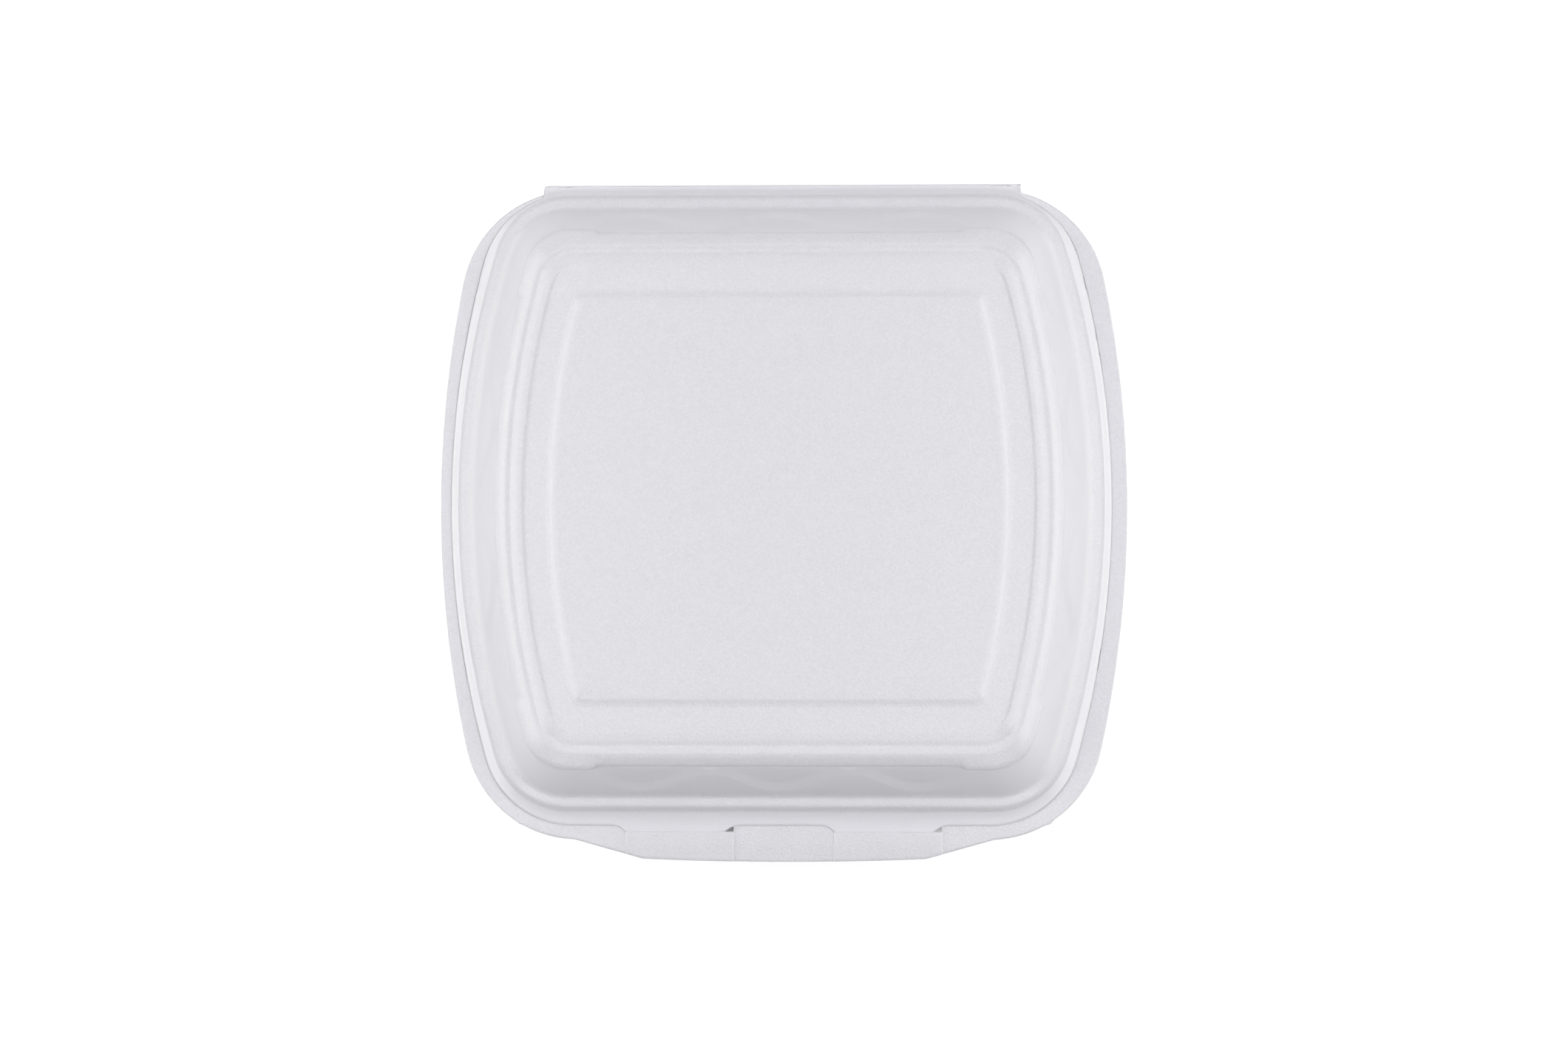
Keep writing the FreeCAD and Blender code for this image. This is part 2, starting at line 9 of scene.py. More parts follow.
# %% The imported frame
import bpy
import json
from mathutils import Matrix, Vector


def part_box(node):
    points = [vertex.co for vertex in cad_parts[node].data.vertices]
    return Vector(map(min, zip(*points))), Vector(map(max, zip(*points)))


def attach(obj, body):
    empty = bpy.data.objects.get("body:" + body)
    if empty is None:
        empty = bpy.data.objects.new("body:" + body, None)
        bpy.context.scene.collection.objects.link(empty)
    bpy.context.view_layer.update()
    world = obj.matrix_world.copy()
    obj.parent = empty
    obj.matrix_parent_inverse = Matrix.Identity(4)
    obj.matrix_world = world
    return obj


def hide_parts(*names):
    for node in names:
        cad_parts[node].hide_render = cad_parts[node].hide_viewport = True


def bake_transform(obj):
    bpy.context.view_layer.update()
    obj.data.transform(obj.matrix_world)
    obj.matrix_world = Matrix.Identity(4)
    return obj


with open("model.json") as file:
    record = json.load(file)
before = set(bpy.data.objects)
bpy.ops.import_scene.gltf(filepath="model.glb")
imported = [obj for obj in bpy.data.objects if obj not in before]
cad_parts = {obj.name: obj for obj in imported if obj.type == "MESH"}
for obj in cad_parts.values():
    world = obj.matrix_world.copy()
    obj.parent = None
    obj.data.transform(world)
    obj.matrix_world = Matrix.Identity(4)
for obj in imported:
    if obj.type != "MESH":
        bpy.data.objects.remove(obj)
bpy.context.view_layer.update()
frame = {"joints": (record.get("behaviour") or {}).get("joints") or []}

# %% [markdown]
# Blender works in metres here, while a foam maker thinks in millimetres. All shapes below are worked
# out in millimetres and turned to metres when a mesh is filled. The overall sizes are read from the
# frame, so the skins can't drift from the solids that they stand for.

# %% Sizes that come from the frame
import json
import math

import bpy
import numpy as np
from mathutils import Matrix

MM = 0.001
HINGE = frame["joints"][0]

lid_low, lid_high = (np.array(corner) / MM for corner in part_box("lid"))
tray_low, tray_high = (np.array(corner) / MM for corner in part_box("base_tray"))
FOLD_Y = HINGE["pos_m"][1] / MM
RIM_Z = HINGE["pos_m"][2] / MM
LID_X = (lid_low[0] + lid_high[0]) / 2
LID_EDGE_HALF = (lid_high[0] - lid_low[0]) / 2
TRAY_EDGE_HALF = (tray_high[0] - tray_low[0]) / 2
TAB_TIP = -lid_low[1]
LIP_TIP = -tray_low[1]
STRIP_END = FOLD_Y - lid_high[1]
print("rim at %.1f, fold at %.1f, lid %.2f to the left" % (RIM_Z, FOLD_Y, -LID_X))

# %% [markdown]
# Seen from above, every level of the container has the same kind of outline: straight front and back
# edges, bowed sides and round corners, all tangent. One function gives that outline for many levels
# at once. It walks round the eight edges with the same fractions at every level, so the points of two
# levels line up and a skin can be stretched between them.

# %% Walking round an outline
FRONT, FRONT_RIGHT, RIGHT, BACK_RIGHT, BACK, BACK_LEFT, LEFT, FRONT_LEFT = range(8)


def column(values):
    """One value or a list of values as a column, so that it spreads over all points of a level."""
    return np.atleast_1d(np.asarray(values, float))[:, None]


def outline(half_width, back, front, corner, bow, walk):
    """Points and outward directions of round-cornered outlines with bowed sides.

    The side is an arc of radius bow whose centre lies on the X axis, so that it passes half_width.
    The corner is an arc of radius corner that touches the side from inside and the straight edge.
    Its centre lies corner inside the straight edge and (bow - corner) from the side's centre.
    """
    sizes = (half_width, back, front, corner, bow)
    half_width, back, front, corner, bow = (column(size) for size in sizes)
    side_x = half_width - bow
    centres = {}
    for name, reach in (("back", back), ("front", front)):
        y = reach - corner
        x = side_x + np.sqrt((bow - corner) ** 2 - y ** 2)
        centres[name] = (x, y, np.arctan2(y, x - side_x))
    bx, by, bt = centres["back"]
    fx, fy, ft = centres["front"]
    quarter = math.pi / 2
    arcs = {
        FRONT_RIGHT: (fx, -fy, corner, -quarter, -ft),
        RIGHT: (side_x, 0 * side_x, bow, -ft, bt),
        BACK_RIGHT: (bx, by, corner, bt, quarter),
        BACK_LEFT: (-bx, by, corner, quarter, 2 * quarter - bt),
        LEFT: (-side_x, 0 * side_x, bow, 2 * quarter - bt, 2 * quarter + ft),
        FRONT_LEFT: (-fx, -fy, corner, 2 * quarter + ft, 3 * quarter),
    }
    places = []
    aims = []
    for edge, fractions in enumerate(walk):
        part = fractions[None, :]
        if edge in arcs:
            x, y, radius, start, end = arcs[edge]
            angle = start + (end - start) * part
            aim = np.stack([np.cos(angle), np.sin(angle)], -1)
            place = np.stack([x + radius * aim[..., 0], y + radius * aim[..., 1]], -1)
        else:
            sign = -1 if edge == FRONT else 1
            reach, half = (front, fx) if edge == FRONT else (back, bx)
            x = sign * half * (1 - 2 * part)
            place = np.stack([x, sign * reach + 0 * x], -1)
            aim = np.stack([0 * x, sign + 0 * x], -1)
        places.append(place)
        aims.append(aim)
    return np.concatenate(places, 1), np.concatenate(aims, 1)


# %% [markdown]
# A straight edge can do with few points, but a tab or a slot on it needs many where it begins and ends.
# So the fractions along an edge are even, and closer beside the marks. Arcs take even fractions.

# %% Fractions along an edge
def stops(half, spacing, marks=(), fine=0.4, reach=3.2):
    """Fractions along a straight edge: evenly spaced, and fine beside each mark on both halves."""
    even = np.linspace(0, half, max(2, int(round(half / spacing)) + 1))
    close = [mark + np.arange(-reach, reach + fine / 2, fine) for mark in marks]
    for mark in marks:
        even = even[np.abs(even - mark) > reach + fine / 2]
    right = np.unique(np.round(np.concatenate([even] + close), 4))
    right = right[(right >= 0) & (right < half)]
    both = np.unique(np.concatenate([-right, right, [-half]]))
    return (both / half + 1) / 2


def even_steps(count):
    """Fractions from 0 up to, and without, 1: the next edge starts where this one ends."""
    return np.arange(count) / count


print("a 40 mm edge with a mark in it takes %d stops" % len(stops(20.0, 2.0, (10.0,))))

# %% [markdown]
# A formed sheet has no sharp corner in its section. The section is written as a short list of
# stations, as on a drawing, and each station is then rounded with a small curve. That keeps the flats
# flat and puts the points where the light bends.

# %% Rounding a section
HALF_A_RUN = 0.499


def run(change):
    """Length of a run between stations, as the mean over the sides' and the ends' section."""
    return np.sqrt((change[..., :4] ** 2).sum(-1) / 2)


def rounded(stations, roundings, steps=5):
    """A polyline with each inner corner replaced by a curve.

    The curve starts and ends at the rounding's distance from the corner, at most half way along each
    neighbouring run, and follows (1-t)^2 start + 2t(1-t) corner + t^2 end, for t from 0 to 1.
    """
    stations = np.asarray(stations, float)
    t = np.linspace(0, 1, steps)[:, None]
    rows = [stations[:1]]
    for i in range(1, len(stations) - 1):
        before = stations[i - 1] - stations[i]
        after = stations[i + 1] - stations[i]
        start = stations[i] + before * min(HALF_A_RUN, roundings[i] / run(before))
        end = stations[i] + after * min(HALF_A_RUN, roundings[i] / run(after))
        rows.append((1 - t) ** 2 * start + 2 * t * (1 - t) * stations[i] + t ** 2 * end)
    rows.append(stations[-1:])
    return np.concatenate(rows)


def filled(rows, longest):
    """The same rows with more of them between two that lie further apart than longest."""
    gaps = run(np.diff(rows, axis=0))
    pieces = [rows[:1]]
    for i, gap in enumerate(gaps):
        count = max(1, int(math.ceil(gap / longest)))
        shares = (np.arange(1, count + 1) / count)[:, None]
        pieces.append(rows[i] + (rows[i + 1] - rows[i]) * shares)
    return np.concatenate(pieces)


def smooth(t):
    """0 up to t = 0, 1 from t = 1, and 3t^2 - 2t^3 between them."""
    t = np.clip(t, 0, 1)
    return t * t * (3 - 2 * t)


print("a soft step is %.2f a quarter of the way" % smooth(0.25))

# %% [markdown]
# The trimmed edges aren't simple rings: the tray has a latch lip, the lid has two tabs, and both have a
# hinge strip. Each edge is therefore given as a plan function that is negative inside the sheet. A
# point of the ring is pushed outwards along its own direction until that function changes sign.

# %% Plan functions and the walk out to the edge
def ring_plan(x, y, half_width, back, front, corner, bow):
    """Distance outside an outline with bowed sides and round corners, negative inside it."""
    reach = np.where(y > 0, back, front)
    side_x = half_width - bow
    cy = reach - corner
    cx = side_x + np.sqrt((bow - corner) ** 2 - cy ** 2)
    ax = np.abs(x)
    ay = np.abs(y)
    to_side = np.hypot(ax - side_x, y) - bow
    to_end = ay - reach
    to_corner = np.hypot(ax - cx, ay - cy) - corner
    in_corner = (ay > cy) & (np.arctan2(ay, ax - side_x) > np.arctan2(cy, cx - side_x)) & (ax > cx)
    return np.where(in_corner, to_corner, np.maximum(to_side, to_end))


def box_plan(x, y, x0, x1, y0, y1, corner):
    """Distance outside a rectangle with round corners, negative inside it.

    The rectangle without its corner radius is taken first. Past its edges the distance is the root
    of the squares of both excesses, inside it is the larger one. The radius is then taken off.
    """
    qx = np.abs(x - (x0 + x1) / 2) - (x1 - x0) / 2 + corner
    qy = np.abs(y - (y0 + y1) / 2) - (y1 - y0) / 2 + corner
    past = np.hypot(np.maximum(qx, 0), np.maximum(qy, 0))
    return past + np.minimum(np.maximum(qx, qy), 0) - corner


def joined(a, b, radius):
    """Two plans as one, with a hollow fillet of about that radius where they meet."""
    h = np.clip(radius - np.abs(a - b), 0, None) / radius
    return np.minimum(a, b) - h * h * radius / 4


def reach_out(places, aims, plan, limit=40.0, halvings=40):
    """Distance from each point along its direction to where the plan changes sign, by halving."""
    low = np.zeros(places.shape[:-1])
    high = np.full_like(low, limit)
    for _ in range(halvings):
        middle = (low + high) / 2
        probe = places + aims * middle[..., None]
        inside = plan(probe[..., 0], probe[..., 1]) < 0
        low = np.where(inside, middle, low)
        high = np.where(inside, high, middle)
    return (low + high) / 2


print("the middle of a 10 mm square lies %.1f mm inside it" % -box_plan(0.0, 0.0, -5, 5, -5, 5, 1.0))

# %% [markdown]
# A skin is a grid: rows are levels of the section, columns are points round the outline. The first and
# the last row close on one point each, in the middle of the top and of the underside, so the mesh is
# a closed shell without a seam. Cells can be left out for the latch's slots, and their rims are then
# walled from one face of the sheet to the other.

# %% From a grid of points to a mesh
def grid_faces(rows, columns, holes=None):
    """Quads of a grid that is closed round its columns, leaving out the cells in holes."""
    r, c = np.meshgrid(np.arange(rows - 1), np.arange(columns), indexing="ij")
    after = (c + 1) % columns
    quads = np.stack([r * columns + c, (r + 1) * columns + c, (r + 1) * columns + after,
                      r * columns + after], -1)
    if holes is not None:
        quads = quads[~holes]
    return quads.reshape(-1, 4)


def skin(name, points, holes=None, walls=()):
    """A closed mesh object from rows of points in millimetres, with one pole at each end.

    Each cell of the grid is a quad. The first and the last row are fans round their mean point.
    """
    rows, columns = points.shape[:2]
    poles = np.stack([points[0].mean(0), points[-1].mean(0)])
    places = np.concatenate([points.reshape(-1, 3), poles]) * MM
    quads = np.concatenate([grid_faces(rows, columns, holes), np.asarray(walls, int).reshape(-1, 4)])
    first = np.arange(columns)
    after = (first + 1) % columns
    last = (rows - 1) * columns
    pole = rows * columns
    fans = np.concatenate([np.stack([first, after, np.full(columns, pole)], -1),
                           np.stack([last + after, last + first, np.full(columns, pole + 1)], -1)])
    mesh = bpy.data.meshes.new(name)
    mesh.from_pydata(places, [], quads.tolist() + fans.tolist())
    mesh.validate()
    mesh.shade_smooth()
    piece = bpy.data.objects.new(name, mesh)
    bpy.context.scene.collection.objects.link(piece)
    mesh.update()
    triangles = 2 * len(quads) + len(fans)
    print("%s: %d rows, %d columns, %d triangles" % (name, rows, columns, triangles))
    return piece


def give(piece, name, values):
    """A number for each point of the grid, which the material can read by that name."""
    layer = piece.data.attributes.new(name, "FLOAT", "POINT")
    full = np.zeros(len(piece.data.vertices))
    flat = np.asarray(values, float).ravel()
    full[:flat.size] = flat
    full[flat.size:] = flat[[0, -1]]
    layer.data.foreach_set("value", full)


# %% [markdown]
# The lid's section, from the groove beside its flange up to the middle of its top. On the real lid the
# ring stiffens the rim, the wall leans in so that the part leaves the mould, the double bead keeps
# the top flat, and the sunk panel with its raised middle takes the middle of the sheet.

# %% The lid's section
FLANGE_WIDTH = 3.6  # from the lid's edge in to the rim's outline, at the sides
TAB_LENGTH_OUT = 7.6  # the same at a tab's tip
RIM_HALF_WIDTH = LID_EDGE_HALF - FLANGE_WIDTH
RIM_HALF_DEPTH = TAB_TIP - TAB_LENGTH_OUT
RIM_CORNER = 26.0
SIDE_BOW = 305.0
LID_SHEET = 2.0

# Each row: inset at the sides and at the ends, level at the sides and at the ends, corner radius and
# rounding, all in mm. The ends are the front and the back.
LID_OUTSIDE = np.array([
    (-0.5, -0.5, 1.7, 1.4, 26.5, 0.0),
    (0.5, 1.0, 3.9, 3.75, 25.6, 0.9),
    (3.3, 4.1, 4.8, 4.65, 22.7, 0.7),
    (4.5, 4.9, 5.7, 5.6, 21.4, 0.7),
    (12.9, 13.7, 23.6, 22.9, 16.9, 0.4),
    (13.6, 14.4, 23.9, 23.2, 16.6, 0.25),
    (13.75, 14.55, 25.2, 24.6, 16.5, 0.3),
    (14.6, 15.6, 26.3, 25.75, 16.1, 0.6),
    (18.0, 18.8, 27.95, 26.75, 14.8, 0.8),
    (18.8, 20.4, 28.0, 27.2, 14.3, 0.5),
    (20.1, 22.3, 26.9, 26.35, 12.8, 0.7),
    (21.9, 24.3, 28.05, 27.0, 11.3, 0.9),
    (24.4, 26.9, 28.15, 27.2, 10.0, 0.4),
    (25.1, 27.3, 27.25, 27.2, 9.5, 0.5),
    (32.4, 36.0, 27.2, 27.2, 4.5, 0.3),
    (33.2, 36.4, 27.5, 27.3, 4.1, 0.3),
    (33.7, 36.8, 27.5, 27.34, 3.8, 0.3),
    (34.8, 38.5, 28.1, 27.85, 3.0, 0.4),
    (38.5, 41.6, 28.0, 28.0, 3.0, 0.0),
])
CREST_INSET = 18.4  # the first bead's crest, at the sides
THICKER_TOP = 0.3  # the top is a little thicker than the walls
MOUTH_SHIFT = 0.17  # the slanted wall meets the rim's plane this much further in

wall_foot, wall_top = LID_OUTSIDE[3:5]
lean = wall_top[0] - wall_foot[0]
wall_rise = wall_top[2] - wall_foot[2]
LID_SKIN_RUN = LID_SHEET * (math.hypot(lean, wall_rise) - lean) / wall_rise
INSIDE_ROWS = [0, 1, 2, 3, 4, 7, 8, 13, 14, 17, 18]
THROUGH = np.array([LID_SKIN_RUN, LID_SKIN_RUN, -LID_SHEET, -LID_SHEET, 0, 0])
LID_INSIDE = LID_OUTSIDE[INSIDE_ROWS] + THROUGH
LID_INSIDE[6:, 2:4] -= THICKER_TOP
LID_INSIDE[0, :2] = LID_SKIN_RUN + MOUTH_SHIFT
LID_INSIDE[0, 2:4] = 0.0

outside = filled(rounded(LID_OUTSIDE[:, :5], LID_OUTSIDE[:, 5], steps=4), longest=1.6)
inside = filled(rounded(LID_INSIDE[:, :5], LID_INSIDE[:, 5], steps=3), longest=4.0)
print("lid section: %d rows outside, %d inside" % (len(outside), len(inside)))

# %% [markdown]
# The middle of each wall is sunk a little and its lower border is a wave with three lobes. The border
# is a plain cosine. How far a point lies inside the border, divided by the width of the soft step,
# says how far the wall is pushed in there.

# %% The wavy panels in the walls
WAVE_DEPTH = 1.3
WAVE_STEP = 1.5
WAVE_MIDDLE = 16.6
WAVE_RISE = 6.2
SIDE_WAVE = dict(pitch=50.0, jog=70.0)
END_WAVE = dict(pitch=47.8, jog=63.0)
PAST_LOBES = 1.25  # the slanted line starts this many pitches from the middle
SLANT = 0.7  # the slanted line's cosine
WAVE_FOOT_INSET = 4.7  # nothing is pushed in before the wall's foot
FADE_INSET = 14.2  # the push fades out from here to the first bead's crest


def wave_push(along, level, top, pitch, jog):
    """How far the wall is pushed in, in mm: the panel's depth times a soft step across its border.

    The border is level = middle - rise * cos(2 pi along / pitch). The distance to it is the height
    above it, shortened by the border's slope. Past the outer lobes a slanted line ends the panel.
    """
    turn = 2 * np.pi / pitch
    border = WAVE_MIDDLE - WAVE_RISE * np.cos(turn * along)
    slope = WAVE_RISE * turn * np.sin(turn * along)
    above = (level - border) / np.sqrt(1 + slope ** 2)
    shoulder = PAST_LOBES * pitch
    end = shoulder + (jog - shoulder) * np.clip((level - WAVE_MIDDLE) / (top - WAVE_MIDDLE), 0, 1)
    beside = (end - np.abs(along)) * SLANT
    return WAVE_DEPTH * smooth(np.minimum(above, beside) / WAVE_STEP + 0.5)


def end_share(aims):
    """How much of the ends' section holds in a direction: 0 on the sides, 1 at the front and back.

    It is a soft step of the squared y part of the direction, from 0.15 to 0.85.
    """
    return smooth((aims[..., 1] ** 2 - 0.15) / 0.7)


def wall_push(places, aims, level, inset):
    """The push at every point of the walls and the shoulder, fading out towards the bead's crest."""
    x = places[..., 0]
    y = places[..., 1]
    at_end = end_share(aims)
    top = wall_top[2] + (wall_top[3] - wall_top[2]) * at_end
    sides = np.abs(aims[..., 0]) > np.abs(aims[..., 1])
    push = np.where(sides, wave_push(y, level, top, **SIDE_WAVE), wave_push(x, level, top, **END_WAVE))
    fade = 1 - smooth((inset - FADE_INSET) / (CREST_INSET - FADE_INSET))
    return push * fade * (inset > WAVE_FOOT_INSET)


middle_push = wave_push(0.0, WAVE_MIDDLE, wall_top[2], **SIDE_WAVE)
print("the middle of a side wall is pushed in by %.1f mm" % middle_push)

# %% [markdown]
# The lid's edge is cut by a die: a narrow flange, a straight strip at the fold, and two tabs at the
# front that snap under the tray's straps. Each is a plan function, and the smallest one counts.

# %% The lid's trimmed edge
LID_FLANGE = dict(half_width=LID_EDGE_HALF, back=108.7, front=113.15, corner=32.0, bow=330.0)
TAB_INNER = 19.4
TAB_LENGTH = 34.1
TAB_MEETS = 0.25  # the tabs reach this much further than the solid ones, to meet the straps
TAB_REACH = TAB_TIP + TAB_MEETS
TAB_HEEL = 0.5  # a tab's left end stands out by this, and is cut with a smaller corner
TAB_CORNER = 2.2
HEEL_LENGTH = 6.0
HEEL_CORNER = 0.7
TAB_FILLET = 5.0
STRIP_HALF = 83.5
STRIP_CORNER = 0.6
WELL_INSIDE = 90.0  # the strip starts here, inside the flange
TAB_BACK = -100.0  # and the tabs here


def lid_plan(x, y):
    """The lid's edge seen from above: its flange, the hinge strip and the two tabs with soft roots."""
    plan = ring_plan(x, y, **LID_FLANGE)
    strip = box_plan(x, y, -STRIP_HALF, STRIP_HALF, WELL_INSIDE, FOLD_Y - STRIP_END, STRIP_CORNER)
    tabs = []
    for x0 in (TAB_INNER, -TAB_INNER - TAB_LENGTH):
        tabs.append(box_plan(x, y, x0, x0 + TAB_LENGTH, -TAB_REACH, TAB_BACK, TAB_CORNER))
        heel_start, heel_end = x0 - TAB_HEEL, x0 + HEEL_LENGTH
        tabs.append(box_plan(x, y, heel_start, heel_end, -TAB_REACH, TAB_BACK, HEEL_CORNER))
    return joined(np.minimum(plan, strip), np.minimum.reduce(tabs), TAB_FILLET)


LID_FRONT_HALF = 74.3
LID_SPACING = 1.35
lid_arcs = [even_steps(22), even_steps(140), even_steps(22)]
lid_walk = [stops(LID_FRONT_HALF, LID_SPACING, (TAB_INNER, TAB_INNER + TAB_LENGTH)), *lid_arcs,
            stops(LID_FRONT_HALF, LID_SPACING), *lid_arcs]
print("lid columns:", sum(len(part) for part in lid_walk))
print("the lid's flange is %.1f mm wide at the right" % -lid_plan(RIM_HALF_WIDTH, 0.0))

# %% [markdown]
# The flange isn't flat. It starts higher, at the foot of the ring, and falls away softly. Where a tab
# begins, the sheet is drawn down to the tray's lip, so a short ramp leads there on either side.

# %% The face of the lid's flange
RAMP_X0 = 22.6
RAMP_X1 = 48.4
RAMP_EDGE = 0.8
FLANGE_LEVEL = 0.65
FLANGE_FALL = 1.05  # at the sides
END_FALL = 0.75  # at the front and the back
SIDE_RUN = 2.7
FRONT_RUN = 3.5
FLANGE_TILT = 0.08
TILT_RUN = 2.0
TAB_LEVEL = 0.5
TAB_FALL = 6.2
TAB_MARGIN = 2.5
TAB_LINE = 112.0
TO_END = (60, 40)  # the sides' fall turns into the ends' over 40 mm from y = 60


def flange_level(x, y, out):
    """Level of the flange's face: it falls away from the ring's foot and is then nearly flat.

    At the sides the fall is a soft step, 1 - (3t^2 - 2t^3) over 2.7 mm. At the front it is steepest
    at the foot, (1 - t)^1.5 over 3.5 mm, with a slight tilt after it. Before each tab a hollow ramp,
    (1 - u)^2 over 6.2 mm, leads down to the tray's lip inside a soft box in x.
    """
    front = smooth((-y - TO_END[0]) / TO_END[1])
    hollow = (1 - np.clip(out / FRONT_RUN, 0, 1)) ** 1.5
    fall = (1 - smooth(out / SIDE_RUN)) * (1 - front) + hollow * front
    height = FLANGE_FALL + (END_FALL - FLANGE_FALL) * smooth((np.abs(y) - TO_END[0]) / TO_END[1])
    level = FLANGE_LEVEL + height * fall - FLANGE_TILT * np.clip(out - FRONT_RUN, 0, TILT_RUN) * front
    drop = (1 - np.clip(out / TAB_FALL, 0, 1)) ** 2
    ramp = TAB_LEVEL + (FLANGE_LEVEL + END_FALL - TAB_LEVEL) * drop
    ax = np.abs(x)
    across = smooth((ax - RAMP_X0) / RAMP_EDGE + 0.5) * smooth((RAMP_X1 - ax) / RAMP_EDGE + 0.5)
    tab_start = smooth((ax - TAB_INNER + TAB_MARGIN) / TAB_MARGIN)
    tab_end = smooth((TAB_INNER + TAB_LENGTH + TAB_MARGIN - ax) / TAB_MARGIN)
    tab = tab_start * tab_end
    tab = tab * smooth(-y - TAB_LINE) * (1 - across)
    return level + (ramp - level) * (across + tab) * (y < TAB_BACK)


print("the flange is %.2f mm high at a side's foot" % flange_level(RIM_HALF_WIDTH, 0.0, 0.0))

# %% [markdown]
# The lid as one skin. The rows start in the middle of the top, run out over the bead, the wall and the
# ring to the trimmed edge, turn round it and come back underneath the same way, one sheet lower. One
# closed skin has no seam that could open, and its thickness can be looked at from below.

# %% The lid's rows, from the top out to the flange
MIDDLE_ROWS = np.array([0.12, 0.3, 0.5, 0.7, 0.85, 0.95])[:, None, None]
FLAT = np.array([1, 1, 0])
UP = np.array([0, 0, 1])


def lid_levels(rows):
    """Outlines, directions, levels and insets for rows of the lid's section."""
    wide = RIM_HALF_WIDTH - rows[:, 0]
    deep = RIM_HALF_DEPTH - rows[:, 1]
    places, aims = outline(wide, deep, deep, rows[:, 4], SIDE_BOW - rows[:, 0], lid_walk)
    level = column(rows[:, 2]) + column(rows[:, 3] - rows[:, 2]) * end_share(aims)
    inset = np.broadcast_to(column(rows[:, 0]), places.shape[:2])
    return places, aims, level, inset


def with_level(places, level):
    """Plan points and their levels as points in space."""
    return np.concatenate([places, np.broadcast_to(level, places.shape[:2])[..., None]], -1)


def pushed(places, aims, distance):
    """Plan points moved along their own directions by a distance each."""
    return places + aims * distance[..., None]


places, aims, level, inset = lid_levels(outside[::-1])
places = pushed(places, aims, -wall_push(places, aims, level, inset))
lid_top_rows = with_level(places, level)
middle = lid_top_rows[:1] * FLAT * MIDDLE_ROWS + UP * lid_top_rows[0, 0, 2]
print("lid: %d rows in the middle, %d down to the groove" % (len(middle), len(lid_top_rows)))

# %% The lid's flange and the round of its trimmed edge
FLANGE_SHARES = np.array([0.1, 0.2, 0.3, 0.42, 0.54, 0.66, 0.8, 0.92])[:, None]
UNDER_SHARES = FLANGE_SHARES[[6, 4, 1]]
EDGE_ROUND = 0.35
EDGE_STEPS = 4

root = -LID_OUTSIDE[0, 0]
root_depth = RIM_HALF_DEPTH + root
groove, groove_aims = outline(RIM_HALF_WIDTH + root, root_depth, root_depth, RIM_CORNER + root,
                              SIDE_BOW + root, lid_walk)
to_edge = reach_out(groove, groove_aims, lid_plan)
out = to_edge * FLANGE_SHARES
flange_places = pushed(groove, groove_aims, out)
flange_rows = with_level(flange_places, flange_level(flange_places[..., 0], flange_places[..., 1], out))
edge_places = pushed(groove, groove_aims, to_edge)
edge_top = flange_level(edge_places[..., 0], edge_places[..., 1], to_edge)
turn = np.linspace(0, 1, EDGE_STEPS)[:, None] * math.pi / 2
round_places = pushed(groove, groove_aims, to_edge - EDGE_ROUND + EDGE_ROUND * np.sin(turn))
upper_rows = with_level(round_places, edge_top - EDGE_ROUND + EDGE_ROUND * np.cos(turn))
lower_rows = with_level(round_places[::-1], EDGE_ROUND - EDGE_ROUND * np.cos(turn[::-1]))
under_rows = with_level(pushed(groove, groove_aims, to_edge * UNDER_SHARES), 0.0)
print("the flange is %.1f to %.1f mm wide" % (to_edge.min(), to_edge.max()))

# %% The lid's underside, and the whole skin
places, aims, level, inset = lid_levels(inside)
places = pushed(places, aims, -wall_push(places, aims, level + LID_SHEET, inset - LID_SKIN_RUN))
lid_under_rows = with_level(places, level)
under_middle = lid_under_rows[-1:] * FLAT * MIDDLE_ROWS[::-1] + UP * lid_under_rows[-1, 0, 2]

lid_points = np.concatenate([middle, lid_top_rows, flange_rows, upper_rows, lower_rows, under_rows,
                             lid_under_rows, under_middle])
lid_points = lid_points + np.array([LID_X, 0, RIM_Z])
lid_skin = skin("lid_skin", lid_points)

# %% [markdown]
# The foam's face isn't the same all over. On the steep walls and the flange the warm sheet is drawn
# out, so the cells are smoothed, and the second bead is a little rough. The crests beside the sides get
# a painted highlight, and the flange there and the ring at the front get painted light: a lighter
# colour where the side lights catch them. Numbers at the points tell the material how much of each
# holds, which follows the form without any picture.

# %% Grain, roughness and painted light of the lid
WALL_GRAIN = 0.4
ROUND_ROWS = 2 * EDGE_STEPS
lid_grain = np.ones(lid_points.shape[:2])
top_rows = slice(len(middle), len(middle) + len(lid_top_rows))
flange_slice = slice(top_rows.stop, top_rows.stop + len(flange_rows))
over_rim = lid_points[top_rows, :, 2] - RIM_Z
on_wall = smooth((over_rim - 5.5) / 1.5) * smooth((25.5 - over_rim) / 1.5)
lid_grain[top_rows] -= (1 - WALL_GRAIN) * on_wall
lid_grain[flange_slice.start:flange_slice.stop + ROUND_ROWS] = WALL_GRAIN
give(lid_skin, "grain", lid_grain)

ROUGH_BEAD = (23.0, 1.3)  # inset and half width
ROUGH_END = (76, 12)  # it ends at y = 76, faded over 12 mm
SIDE_AIM = 0.9  # a direction with more x than this belongs to a side
top_inset = outside[::-1, 0]
lid_rough = np.zeros(lid_points.shape[:2])
lid_rough[top_rows] = np.exp(-((top_inset[:, None] - ROUGH_BEAD[0]) / ROUGH_BEAD[1]) ** 2)
lid_rough[top_rows] *= np.abs(aims[0, :, 0]) > SIDE_AIM
lid_rough[top_rows] *= smooth((ROUGH_END[0] - np.abs(lid_points[top_rows, :, 1])) / ROUGH_END[1])
give(lid_skin, "stretch", lid_rough)
